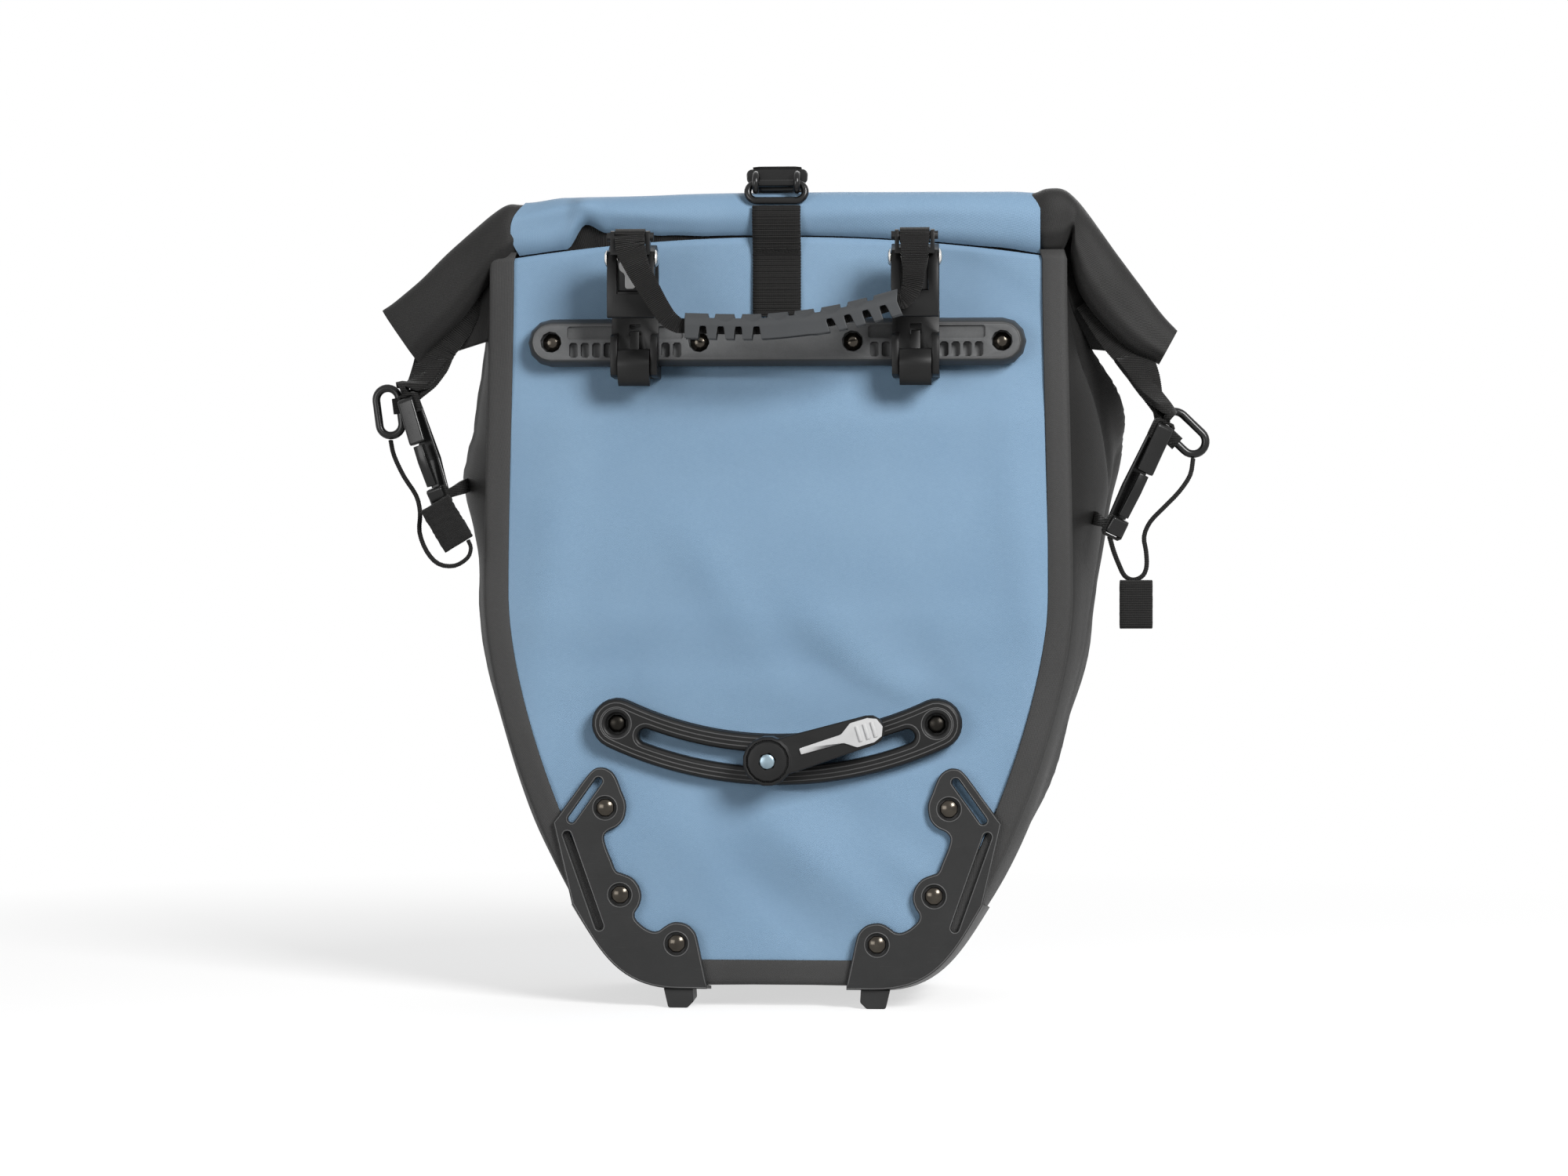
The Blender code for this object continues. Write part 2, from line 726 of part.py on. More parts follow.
def rail_outline(inset):
    return stadium(RAIL_LENGTH - 2 * inset, RAIL_HEIGHT - 2 * inset, 6, 0, RAIL_Z)


def rail_notches(side):
    """Pockets and notches that index one hook along the rail."""
    top = RAIL_THICKNESS + 1 * MM
    middle = side * RAIL_POCKET_X
    pocket = rounded_outline([
        (middle - 30 * MM, RAIL_Z + 1.4 * MM, 1 * MM), (middle + 30 * MM, RAIL_Z + 1.4 * MM, 1 * MM),
        (middle + 30 * MM, RAIL_Z + 8.0 * MM, 1 * MM), (middle - 30 * MM, RAIL_Z + 8.0 * MM, 1 * MM),
    ], 1)
    cutters = [plate_mesh(pocket, [], RAIL_THICKNESS - 1.2 * MM, top)]
    for k in range(RAIL_NOTCH_COUNT):
        x = middle + (k - (RAIL_NOTCH_COUNT - 1) / 2) * RAIL_NOTCH_PITCH
        notch = rounded_outline([
            (x - 2.2 * MM, RAIL_Z - 8.0 * MM, 1 * MM), (x + 2.2 * MM, RAIL_Z - 8.0 * MM, 1 * MM),
            (x + 2.2 * MM, RAIL_Z - 0.4 * MM, 1 * MM), (x - 2.2 * MM, RAIL_Z - 0.4 * MM, 1 * MM),
        ], 1)
        cutters.append(plate_mesh(notch, [], RAIL_THICKNESS - 4 * MM, top))
    return cutters


def make_rail(plastic, screw, parent):
    top = RAIL_THICKNESS + GAP
    levels = [(GAP, RAIL_GROOVE), (4.5 * MM, RAIL_GROOVE), (4.5 * MM, 0), (6 * MM, 0),
              (top - 1 * MM, 1.9 * MM), (top, 2.9 * MM)]
    rail = add_object("upper_rail", stacked_mesh(rail_outline, levels), plastic, parent)
    seat = top - SCREW_SINK
    bores = [counterbore(x, RAIL_Z, 5.5 * MM, seat - GAP, top + 1 * MM) for x in RAIL_SCREW_X]
    cut(rail, bores + rail_notches(-1) + rail_notches(1))
    for number, x in enumerate(RAIL_SCREW_X, 1):
        add_object(f"rail_screw_{number}", screw_mesh(x, RAIL_Z, seat), screw, parent)


# ---------------------------------------------------------------- rack hooks

HOOK_BACK = RAIL_THICKNESS + GAP + 0.4 * MM
JAW_BACK = HOOK_BACK + HOOK_WALL
JAW_FRONT = JAW_BACK + JAW_GAP
HOOK_FRONT = JAW_FRONT + FINGER
CHEEK_FRONT = JAW_BACK + 7.5 * MM
RAIL_LOW = RAIL_Z - RAIL_HEIGHT / 2 - GAP
RAIL_HIGH = RAIL_Z + RAIL_HEIGHT / 2 + GAP


def side_profile(corners, steps=2):
    return [tuple(point) for point in rounded_outline(corners, steps)]


def hook_profile():
    """Side view (z, w): lips round the rail, arch over the rack tube, finger in front."""
    lip_low, lip_high = 1.2 * MM, 4.0 * MM
    return side_profile([
        (RAIL_LOW - 6 * MM, lip_low, 0), (RAIL_LOW + 3.4 * MM, lip_low, 0),
        (RAIL_LOW + 3.4 * MM, lip_high, 0), (RAIL_LOW, lip_high, 0),
        (RAIL_LOW, HOOK_BACK, 0), (RAIL_HIGH, HOOK_BACK, 0),
        (RAIL_HIGH, lip_high, 0), (RAIL_HIGH - 3.4 * MM, lip_high, 0),
        (RAIL_HIGH - 3.4 * MM, lip_low, 0), (RAIL_HIGH + 3.4 * MM, lip_low, 0.8 * MM),
        (RAIL_HIGH + 3.4 * MM, HOOK_BACK, 0), (HOOK_TOP, HOOK_BACK, 9 * MM),
        (HOOK_TOP, HOOK_FRONT, 14 * MM), (FINGER_TIP, HOOK_FRONT, 1 * MM),
        (FINGER_TIP, JAW_FRONT, 1 * MM), (JAW_TOP, JAW_FRONT, 8 * MM),
        (JAW_TOP, JAW_BACK, 8 * MM), (RAIL_LOW + 16 * MM, JAW_BACK, 1 * MM),
        (RAIL_LOW + 16 * MM, CHEEK_FRONT, 5 * MM), (RAIL_LOW - 6 * MM, CHEEK_FRONT, 3 * MM),
    ])


def pin_mesh(centre_x, z, w, radius, half_length, segments=10):
    """A plain pin lying across the bag."""
    profile = [(0, -half_length), (radius, -half_length), (radius, half_length), (0, half_length)]
    return lathe_mesh(profile, (centre_x, -w, z), (1, 0, 0), segments)


def make_hook(side, tag, plastic, steel, joint):
    centre = side * HOOK_X
    half, pocket, past = CHANNEL / 2, LEVER_WIDTH / 2 + GAP, 2 * MM
    mesh = side_mesh(hook_profile(), centre, HOOK_WIDTH)
    hook = add_object(f"rack_hook_{tag}", mesh, plastic, joint)
    window = box_mesh((centre - half, WINDOW_BOTTOM, LATCH_PIVOT[1] - 3.7 * MM),
                      (centre + half, HOOK_TOP + past, HOOK_FRONT + past))
    above_rail = box_mesh((centre - pocket, RAIL_LOW - 8 * MM, JAW_BACK),
                          (centre + pocket, RAIL_LOW + 17.5 * MM, CHEEK_FRONT + past))
    below_rail = box_mesh((centre - pocket, RAIL_LOW - 8 * MM, 4.5 * MM),
                          (centre + pocket, RAIL_LOW - 0.2 * MM, CHEEK_FRONT + past))
    keyhole = box_mesh((centre - 2.9 * MM, RAIL_LOW + 15.5 * MM, HOOK_BACK - past),
                       (centre + 2.9 * MM, RAIL_LOW + 21 * MM, JAW_BACK + past))
    reach = HOOK_WIDTH / 2 + past
    rivet_bore = pin_mesh(centre, *LATCH_PIVOT, RIVET_RADIUS + GAP, reach)
    lever_bore = pin_mesh(centre, *LEVER_PIVOT, LEVER_PIN_RADIUS + GAP, reach)
    for cutter in (window, above_rail, below_rail, keyhole, rivet_bore, lever_bore):
        cut(hook, [cutter])
    head, length = 4.7 * MM, HOOK_WIDTH / 2 + GAP
    rivet = [(0, -length - 1.7 * MM), (head * 0.7, -length - 1.3 * MM), (head, -length),
             (RIVET_RADIUS, -length), (RIVET_RADIUS, length), (head, length),
             (head * 0.7, length + 1.3 * MM), (0, length + 1.7 * MM)]
    rivet_mesh = lathe_mesh(rivet, (centre, -LATCH_PIVOT[1], LATCH_PIVOT[0]), (1, 0, 0), 12)
    add_object(f"latch_rivet_{tag}", rivet_mesh, steel, joint)


LATCH_FACE = HOOK_FRONT - 2.3 * MM


def latch_profile():
    """Side view (z, w) of the latch: crossbar, boss round the rivet, plate and pawl."""
    pivot_z, pivot_w = LATCH_PIVOT
    return side_profile([
        (pivot_z + 4.0 * MM, HOOK_FRONT + 1.8 * MM, 1 * MM), (pivot_z + 4.0 * MM, pivot_w + 4 * MM, 0),
        (pivot_z + 3.2 * MM, pivot_w - 3.2 * MM, 2.6 * MM),
        (pivot_z - 3.4 * MM, pivot_w - 3.2 * MM, 2.6 * MM), (pivot_z - 4.6 * MM, JAW_FRONT, 0),
        (pivot_z - 10.5 * MM, JAW_FRONT, 0.8 * MM), (pivot_z - 12 * MM, JAW_FRONT - 8 * MM, 0.8 * MM),
        (pivot_z - 15.3 * MM, JAW_FRONT - 8 * MM, 1.2 * MM), (pivot_z - 17 * MM, JAW_FRONT, 1 * MM),
        (pivot_z - 17 * MM, LATCH_FACE, 0.8 * MM), (pivot_z - 1.2 * MM, LATCH_FACE, 0),
        (pivot_z + 1.2 * MM, HOOK_FRONT + 1.8 * MM, 0.8 * MM),
    ])


def make_latch(side, tag, plastic, pad, webbing, joint):
    """The sprung latch in a hook's window, with its grey pad and the webbing round its bar."""
    centre = side * HOOK_X
    pivot_z = LATCH_PIVOT[0]
    bar_z, bar_w = LATCH_BAR
    mesh = side_mesh(latch_profile(), centre, CHANNEL - 2.4 * GAP)
    latch = add_object(f"latch_{tag}", mesh, plastic, joint)
    fork = side_profile([
        (pivot_z + 1.2 * MM, HOOK_FRONT + 1.8 * MM, 0), (pivot_z + 1.2 * MM, bar_w - 1 * MM, 0),
        (bar_z - 1 * MM, bar_w - 3.4 * MM, 2 * MM), (bar_z + 3 * MM, bar_w - 2.6 * MM, 2 * MM),
        (bar_z + 3 * MM, bar_w + 2.6 * MM, 2 * MM),
    ])
    fuse(latch, [side_mesh(fork, centre, 2 * FORK_GAP + 4.2 * MM)])
    cut(latch, [box_mesh((centre - FORK_GAP, pivot_z + 4 * MM, bar_w - 12 * MM),
                         (centre + FORK_GAP, bar_z + 9 * MM, bar_w + 9 * MM))])
    fuse(latch, [pin_mesh(centre, bar_z, bar_w, LATCH_BAR_RADIUS, 11.8 * MM, 8)])
    cut(latch, [pin_mesh(centre, *LATCH_PIVOT, RIVET_RADIUS + GAP, 12 * MM)])
    pad_outline = rounded_outline([
        (centre - 6 * MM, pivot_z - 2 * MM, 1 * MM), (centre - 6 * MM, pivot_z - 6 * MM, 1.5 * MM),
        (centre - 2.9 * MM, pivot_z - 8.5 * MM, 1.5 * MM),
        (centre - 2.9 * MM, pivot_z - 15.8 * MM, 0.8 * MM),
        (centre + 2.2 * MM, pivot_z - 15.8 * MM, 0.8 * MM),
        (centre + 2.2 * MM, pivot_z - 7 * MM, 1.5 * MM), (centre + 0.4 * MM, pivot_z - 2 * MM, 1 * MM),
    ], 1)
    face = LATCH_FACE + 0.15 * MM
    add_object(f"latch_pad_{tag}", plate_mesh(pad_outline, [], face, face + 0.9 * MM), pad, joint)
    radius = LATCH_BAR_RADIUS + GAP + WEBBING / 2
    wrap = []
    for k in range(11):
        a = math.radians(-170 + 34 * k)
        wrap.append(on_panel(centre, bar_z + radius * math.sin(a), bar_w - radius * math.cos(a)))
    mesh = band_mesh(wrap, [HANDLE_WEBBING_WIDTH] * 11, [Vector((1, 0, 0))] * 11)
    add_object(f"handle_loop_{tag}", mesh, webbing, joint)


def make_clamp_lever(side, tag, plastic, joint):
    """Lever that locks a hook on the rail; its tongue springs into a hole in the hook."""
    centre = side * HOOK_X
    pivot_z, pivot_w = LEVER_PIVOT
    inner = JAW_BACK + 0.8 * MM
    profile = side_profile([
        (pivot_z + 10.6 * MM, inner, 0), (pivot_z + 10.6 * MM, pivot_w + 3.4 * MM, 2 * MM),
        (pivot_z + 4 * MM, pivot_w + 7 * MM, 6 * MM), (pivot_z - 5 * MM, pivot_w + 5 * MM, 5 * MM),
        (pivot_z - 8.4 * MM, pivot_w + 1.2 * MM, 1.5 * MM),
        (pivot_z - 7.5 * MM, pivot_w - 1.2 * MM, 1 * MM), (pivot_z - 2.5 * MM, inner, 1 * MM),
    ])
    mesh = side_mesh(profile, centre, LEVER_WIDTH)
    lever = add_object(f"clamp_lever_{tag}", mesh, plastic, joint)
    tongue = [(pivot_z + 9 * MM, inner + 0.4 * MM), (pivot_z + 9 * MM, inner + 2.6 * MM),
              (pivot_z + 19.8 * MM, inner + 1.6 * MM), (pivot_z + 20.6 * MM, JAW_BACK - 2 * MM),
              (pivot_z + 19 * MM, JAW_BACK - 2 * MM), (pivot_z + 18.6 * MM, inner + 0.4 * MM)]
    tongue_mesh = side_mesh(tongue, centre, 4.6 * MM)
    trunnion = pin_mesh(centre, pivot_z, pivot_w, LEVER_PIN_RADIUS, HOOK_WIDTH / 2 - 0.3 * MM)
    return fuse(lever, [tongue_mesh, trunnion])


# ---------------------------------------------------------------- handle

# Centre line of the grip, as millimetres across the bag and up from the rail's middle.
GRIP_KNOTS = ((-43.2, 5.4), (-20, 4.7), (0, 5.0), (26, 7.9), (46, 12.2), (63.5, 16.9))


def by_rail(u, v, w):
    """A place in millimetres: across the bag, up from the rail's middle, out from the panel."""
    return on_panel(u * MM, RAIL_Z + v * MM, w * MM)


def grip_route(steps):
    """Centre line of the grip as it hangs, from its left end to its right end."""
    return smooth_route([by_rail(u, v, HANDLE_OUT / MM) for u, v in GRIP_KNOTS], steps)


def tube_mesh(route, half_high, half_deep, wall, segments=10):
    """A tube of oval section whose route stays in one plane parallel to the back panel."""
    points = []
    for shrink in (0, wall):
        for point, along in zip(route, tangents(route)):
            up = Vector((-along.z, 0, along.x)).normalized() * (half_high - shrink)
            out = Vector((0, shrink - half_deep, 0))
            for k in range(segments):
                a = 2 * math.pi * k / segments
                points.append(point + up * math.sin(a) + out * math.cos(a))
    count = len(route)
    inside = count * segments
    faces = []
    for k in range(segments):
        n = (k + 1) % segments
        for base in (0, inside):
            for i in range(count - 1):
                a = base + i * segments
                faces.append((a + k, a + n, a + segments + n, a + segments + k))
        for end in (0, (count - 1) * segments):
            faces.append((end + k, end + n, inside + end + n, inside + end + k))
    return mesh_of(points, faces)


def make_grip(rubber, joint):
    mesh = tube_mesh(grip_route(1), GRIP_HEIGHT / 2, GRIP_DEPTH / 2, 1.8 * MM)
    grip = add_object("handle_grip", mesh, rubber, joint)
    for u in (-34, -25.5, -17, -8.5, 27, 35, 43, 51):
        near = min(grip_route(6), key=lambda point: abs(point.x - u * MM))
        low = near.z / MM - 9.5
        cut(grip, [box_mesh(mm(u - 1.9, low, 40), mm(u + 1.9, low + 5.8, 60))])


def make_handle_webbing(webbing, joint):
    """One length of webbing from bar to bar, gathered where it runs through the grip."""
    left = [by_rail(*p) for p in ((-72, 51.8, 43.65), (-71.2, 44.9, 45.6), (-67.2, 34.4, 48.3),
                                  (-59, 19.9, 49), (-52.5, 9.8, 49), (-46.6, 5.6, 49))]
    right = [by_rail(*p) for p in ((66.6, 17.8, 49), (70.6, 23.9, 49), (72.0, 34.4, 48),
                                   (72.1, 44.9, 45.6), (72, 51.8, 43.65))]
    knots = left + grip_route(1) + right
    flat, edge = Vector((1, 0, 0)), Vector((0, 0, 1))
    widths, across = [], []
    for i in range(len(knots)):
        from_end = min(i, len(knots) - 1 - i)
        inside = len(left) - 1 <= i <= len(left) + len(GRIP_KNOTS) - 1
        taper = (1, 1, 0.94, 0.8, 0.6)[min(from_end, 4)]
        widths.append(7.6 * MM if inside else HANDLE_WEBBING_WIDTH * taper)
        away = flat if i < len(knots) / 2 else -flat
        across.append(away.lerp(edge, (0, 0, 0.45, 0.8, 1)[min(from_end, 4)]))
    add_object("handle_webbing", band_mesh(knots, widths, across), webbing, joint)


# ---------------------------------------------------------------- lower rail and arm

def arc_place(angle):
    """A point on the lower rail's centre line, as (x, z)."""
    return (ARC_RADIUS * math.sin(angle), ARC_LOW_Z + ARC_RADIUS * (1 - math.cos(angle)))


def make_arc_rail(plastic, screw, parent):
    top = ARC_THICKNESS + GAP
    levels = [(GAP, 0), (3.2 * MM, 0), (top - 1 * MM, 1.9 * MM), (top, 2.7 * MM)]
    mesh = stacked_mesh(lambda inset: arc_band(ARC_HALF_WIDTH - inset, ARC_HOLE_ANGLE), levels)
    rail = add_object("lower_rail", mesh, plastic, parent)
    _, places, _ = screw_places()
    seat = top - 4.4 * MM
    slot = stacked_mesh(lambda half: arc_band(half, ARC_SLOT_ANGLE), [
        (-1 * MM, ARC_CHANNEL / 2), (ARC_CHANNEL_DEPTH, ARC_CHANNEL / 2),
        (ARC_CHANNEL_DEPTH, ARC_SLOT / 2), (top + 1 * MM, ARC_SLOT / 2)])
    cut(rail, [slot])
    cut(rail, [counterbore(x, z, 5.4 * MM, seat - GAP, top + 1 * MM) for x, z in places])
    for number, (x, z) in enumerate(places, 1):
        add_object(f"arc_screw_{number}", screw_mesh(x, z, seat), screw, parent)


def arm_centre():
    x, z = arc_place(ARM_REST_ANGLE)
    return Vector((x, 0, z))


def turned(profile, segments):
    """A solid turned about the arm's pivot."""
    return lathe_mesh(profile, arm_centre(), (0, -1, 0), segments)


ARC_TOP = ARC_THICKNESS + GAP
CAP_FLOOR = HUB_TOP - 3 * MM


def make_carriage(plastic, zinc, joint):
    """The shoe that slides in the slot, with the bolt and cap that hold the arm on it."""
    wide, narrow = ARC_CHANNEL / 2 - 0.4 * MM, ARC_SLOT / 2 - 0.3 * MM
    shoe = [(0, GAP * 2), (wide, GAP * 2), (wide, ARC_CHANNEL_DEPTH - GAP),
            (narrow, ARC_CHANNEL_DEPTH - GAP), (narrow, ARC_TOP + 0.2 * MM), (0, ARC_TOP + 0.2 * MM)]
    add_object("slot_slider", turned(shoe, 14), plastic, joint)
    cap = [(0, CAP_FLOOR + GAP), (9.6 * MM, CAP_FLOOR + GAP), (10.6 * MM, HUB_TOP - 0.6 * MM),
           (9.8 * MM, HUB_TOP + 0.6 * MM), (0, HUB_TOP + 0.6 * MM)]
    cap_object = add_object("pivot_cap", turned(cap, 16), plastic, joint)
    recess = [(0, HUB_TOP - 1.5 * MM), (4.6 * MM, HUB_TOP - 1.5 * MM),
              (4.6 * MM, HUB_TOP + 2 * MM), (0, HUB_TOP + 2 * MM)]
    bore = [(0, CAP_FLOOR - 1 * MM), (2.8 * MM, CAP_FLOOR - 1 * MM),
            (2.8 * MM, HUB_TOP), (0, HUB_TOP)]
    cut(cap_object, [turned(recess, 6)])
    cut(cap_object, [turned(bore, 10)])
    floor = ARC_TOP + 0.5 * MM
    bolt = [(0, floor + GAP), (2.5 * MM, floor + GAP), (2.5 * MM, HUB_TOP - 1.2 * MM),
            (3.9 * MM, HUB_TOP - 1.2 * MM), (3.9 * MM, HUB_TOP + 1.2 * MM),
            (2.8 * MM, HUB_TOP + 1.6 * MM), (0, HUB_TOP + 1.6 * MM)]
    add_object("pivot_bolt", turned(bolt, 12), zinc, joint)


def arm_outline():
    """The arm's face before it is tilted: a tapered finger that runs out from the hub."""
    tip, root = 7.8 * MM, 9.4 * MM
    points = [Vector((2 * MM, -root)), Vector((14 * MM, -root))]
    for k in range(7):
        a = -math.pi / 2 + math.pi * k / 6
        points.append(Vector((ARM_LENGTH + tip * math.cos(a), tip * math.sin(a))))
    return points + [Vector((14 * MM, root)), Vector((2 * MM, root))]


def tilted(points):
    turn = Matrix.Rotation(ARM_TILT, 2)
    centre = arm_centre()
    return [turn @ point + Vector((centre.x, centre.z)) for point in points]


def make_arm(plastic, pad, joint):
    floor = ARC_TOP + 0.5 * MM
    hub = [(0, floor), (HUB_RADIUS - 1 * MM, floor), (HUB_RADIUS, floor + 2 * MM),
           (HUB_RADIUS, HUB_TOP - 1 * MM), (HUB_RADIUS - 1 * MM, HUB_TOP), (0, HUB_TOP)]
    low, high = ARC_TOP + ARM_GAP, ARC_TOP + ARM_GAP + ARM_THICKNESS
    arm = add_object("anchor_arm", turned(hub, 16), plastic, joint)
    fuse(arm, [plate_mesh(tilted(arm_outline()), [], low, high, 0.7 * MM)])
    bore = [(0, floor - 1 * MM), (2.8 * MM, floor - 1 * MM), (2.8 * MM, CAP_FLOOR),
            (11 * MM, CAP_FLOOR), (11 * MM, HUB_TOP + 1 * MM), (0, HUB_TOP + 1 * MM)]
    cut(arm, [turned(bore, 16)])
    inlay = rounded_outline([
        (17.5 * MM, 1.6 * MM, 0.6 * MM), (17.5 * MM, -1.6 * MM, 0.6 * MM),
        (40 * MM, -2.2 * MM, 3 * MM), (46 * MM, -6.4 * MM, 2 * MM),
        (61.4 * MM, -6.4 * MM, 6.2 * MM), (61.4 * MM, 6.4 * MM, 6.2 * MM),
        (46 * MM, 6.4 * MM, 2 * MM), (40 * MM, 2.2 * MM, 3 * MM),
    ], 2)
    face = high + 0.15 * MM
    mesh = plate_mesh(tilted(inlay), [], face, face + 0.8 * MM)
    inlay_object = add_object("arm_pad", mesh, pad, joint)
    ribs = []
    for x in (48, 52, 56):
        corners = ((x, -4), (x + 1.6, -4), (x + 1.6, 4), (x, 4))
        rib = tilted([Vector(mm(*corner)) for corner in corners])
        ribs.append(plate_mesh(rib, [], face + 0.5 * MM, face + 1.5 * MM))
    return fuse(inlay_object, ribs)


# ---------------------------------------------------------------- corner guards

# Inner side of the left guard seen from the rack, as (x, z, fillet) in millimetres, from its
# top lobe down to the foot; its outer side follows the edge of the bag.
GUARD_CORNERS = (
    (-117.4, 94.0, 4), (-89.8, 131.7, 7.5), (-76.0, 99.5, 10), (-91.5, 85.5, 3),
    (-85.0, 69.7, 3), (-70.3, 69.7, 9.5), (-69.8, 52.5, 5), (-75.2, 47.0, 2.5),
    (-69.5, 39.3, 5), (-61.0, 39.3, 3), (-56.0, 44.6, 4), (-43.6, 44.6, 9),
)
GUARD_SLOTS = (((-92.2, 117.1), (-106.2, 97.5)), ((-108.5, 89.2), (-91.8, 42.2)))
GUARD_SLOT_WIDTH = 3.9 * MM


def slot_between(start, end, width):
    """A slot with round ends between two (x, z) points."""
    along = end - start
    turn = Matrix.Rotation(math.atan2(along.y, along.x), 2)
    flat = stadium(along.length + width, width, 3)
    return [turn @ point + (start + end) / 2 for point in flat]


def guard_stations():
    """Stations of the bag's edge that a guard covers, from near the middle to the flank."""
    steps = SPAN_STEPS[1]
    return [station(0, 0.72), *[station(1, k / steps) for k in range(steps)], station(2, 0)]


def make_guard(side, tag, plastic, screw, parent):
    """Corner guard: face plate, wall that wraps the bag's bottom edge, and a foot."""
    low = 2 * GAP + FABRIC + GAP
    high = low + GUARD_THICKNESS
    clear, thick = 2 * GAP, 1.8 * MM

    def placed(points):
        return [Vector((-side * p.x, p.y)) for p in points]

    rim = [back + normal * (clear + thick) for back, _, normal, _ in guard_stations()]
    corners = [(x * MM, z * MM, r * MM) for x, z, r in GUARD_CORNERS]
    corners += [(-p.x, p.z, 1.5 * MM if i == 0 else 0) for i, p in enumerate(rim)]
    outline = placed(rounded_outline(corners, 2))
    slots = [placed(slot_between(Vector(mm(*a)), Vector(mm(*b)), GUARD_SLOT_WIDTH))
             for a, b in GUARD_SLOTS]
    mesh = plate_mesh(outline, slots, low, high, 0.6 * MM)
    guard = add_object(f"corner_guard_{tag}", mesh, plastic, parent)
    rings = []
    for back, front, normal, swell in guard_stations():
        shares = (0, 0.5 * GUARD_WRAP / front.y, GUARD_WRAP / front.y)
        inner = [wall_point(back, front, normal, swell, share) + normal * clear for share in shares]
        inner.insert(0, inner[0] + Vector((0, -low - 1 * MM, 0)))
        outer = [point + normal * (thick - 0.1 * MM) for point in inner]
        rings.append([on_side(side, p) for p in inner + outer[::-1]])
    near, far = -low - 1 * MM, FOOT_DEPTH - low
    foot = [[Vector((side * x * MM, y, z * MM)) for x, z in
             ((58.5, top), (56, 0), (46.5, 0), (43, 3.4), (43.4, top))]
            for y, top in ((near, 11), (far, 9.2))]
    fuse(guard, [rings_mesh(rings), rings_mesh(foot)])
    seat = high - 1.7 * MM
    places = [(side * -x * MM, z * MM) for x, z in GUARD_SCREWS]
    cut(guard, [counterbore(x, z, 5.7 * MM, seat - GAP, high + 1 * MM) for x, z in places])
    for number, (x, z) in enumerate(places, 1):
        add_object(f"guard_screw_{tag}_{number}", screw_mesh(x, z, seat), screw, parent)


# ---------------------------------------------------------------- closure strap

def strap_mesh(route, width=STRAP_WIDTH):
    """Webbing that runs up and over the bag at its middle, through (y, z) points."""
    points = smooth_route([Vector((0, y, z)) for y, z in route], 2)
    return band_mesh(points, [width] * len(points), [Vector((1, 0, 0))] * len(points))


def front_panel_line():
    """(y, z) points just clear of the front panel's middle, from the top down."""
    clear = 2 * GAP + WEBBING / 2
    line = []
    for k in range(SPAN_STEPS[3] - 1, -1, -1):
        here = front_point(front_edge(3, k / SPAN_STEPS[3]), 0)
        above = front_point(front_edge(3, (k + 0.5) / SPAN_STEPS[3]), 0)
        below = front_point(front_edge(3, (k - 0.5) / SPAN_STEPS[3]), 0) if k else here * 2 - above
        along = (above - below).normalized()
        line.append((here.y + along.z * clear, here.z - along.y * clear))
    return line


def make_closure(webbing, gloss, parent):
    top, above_rail = ROLL_TOP / MM, (RAIL_HIGH + 1.1 * MM) / MM
    back = [mm(-1.35, above_rail), mm(-1.35, top - 46), mm(-1.6, top - 31), mm(-5.0, top - 22),
            mm(-6.8, top - 14), mm(-6.1, top - 8)]
    add_object("closure_strap", strap_mesh(back), webbing, parent)
    ring_low, ring_high = Vector(mm(0, -5.4, top - 5.5)), Vector(mm(0, -3.9, top + 3.6))
    up = ring_high - ring_low
    ring = oval_points((ring_low + ring_high) / 2, (1, 0, 0), up, 14.8 * MM, up.length / 2, 3)
    add_object("strap_ring", round_bar_mesh(ring, 1.9 * MM, 8, True), gloss, parent)
    plate = ((-8, 0), (8, 0), (16, 6), (16, 11), (-16, 11), (-16, 6))
    faces = [[Vector(mm(x, y, top + z)) for x, z in plate] for y in (0.2, 2.6)]
    hook = add_object("strap_hook", rings_mesh(faces), gloss, parent)
    for side in (-1, 1):
        curl = []
        for k in range(8):
            a = math.radians(20 + 32 * k)
            curl.append(Vector(mm(side * 10.6, -3.4 + 4.7 * math.cos(a),
                                  top + 3.6 + 4.7 * math.sin(a))))
        fuse(hook, [round_bar_mesh(curl, 1.7 * MM, 6)])
    front = [mm(0.8, top + 12.15), mm(7, top + 11.6), mm(15.5, top + 6), mm(20.6, top - 4),
             mm(21.2, top - 14)]
    add_object("front_strap", strap_mesh(front + front_panel_line()), webbing, parent)


# ---------------------------------------------------------------- side clips

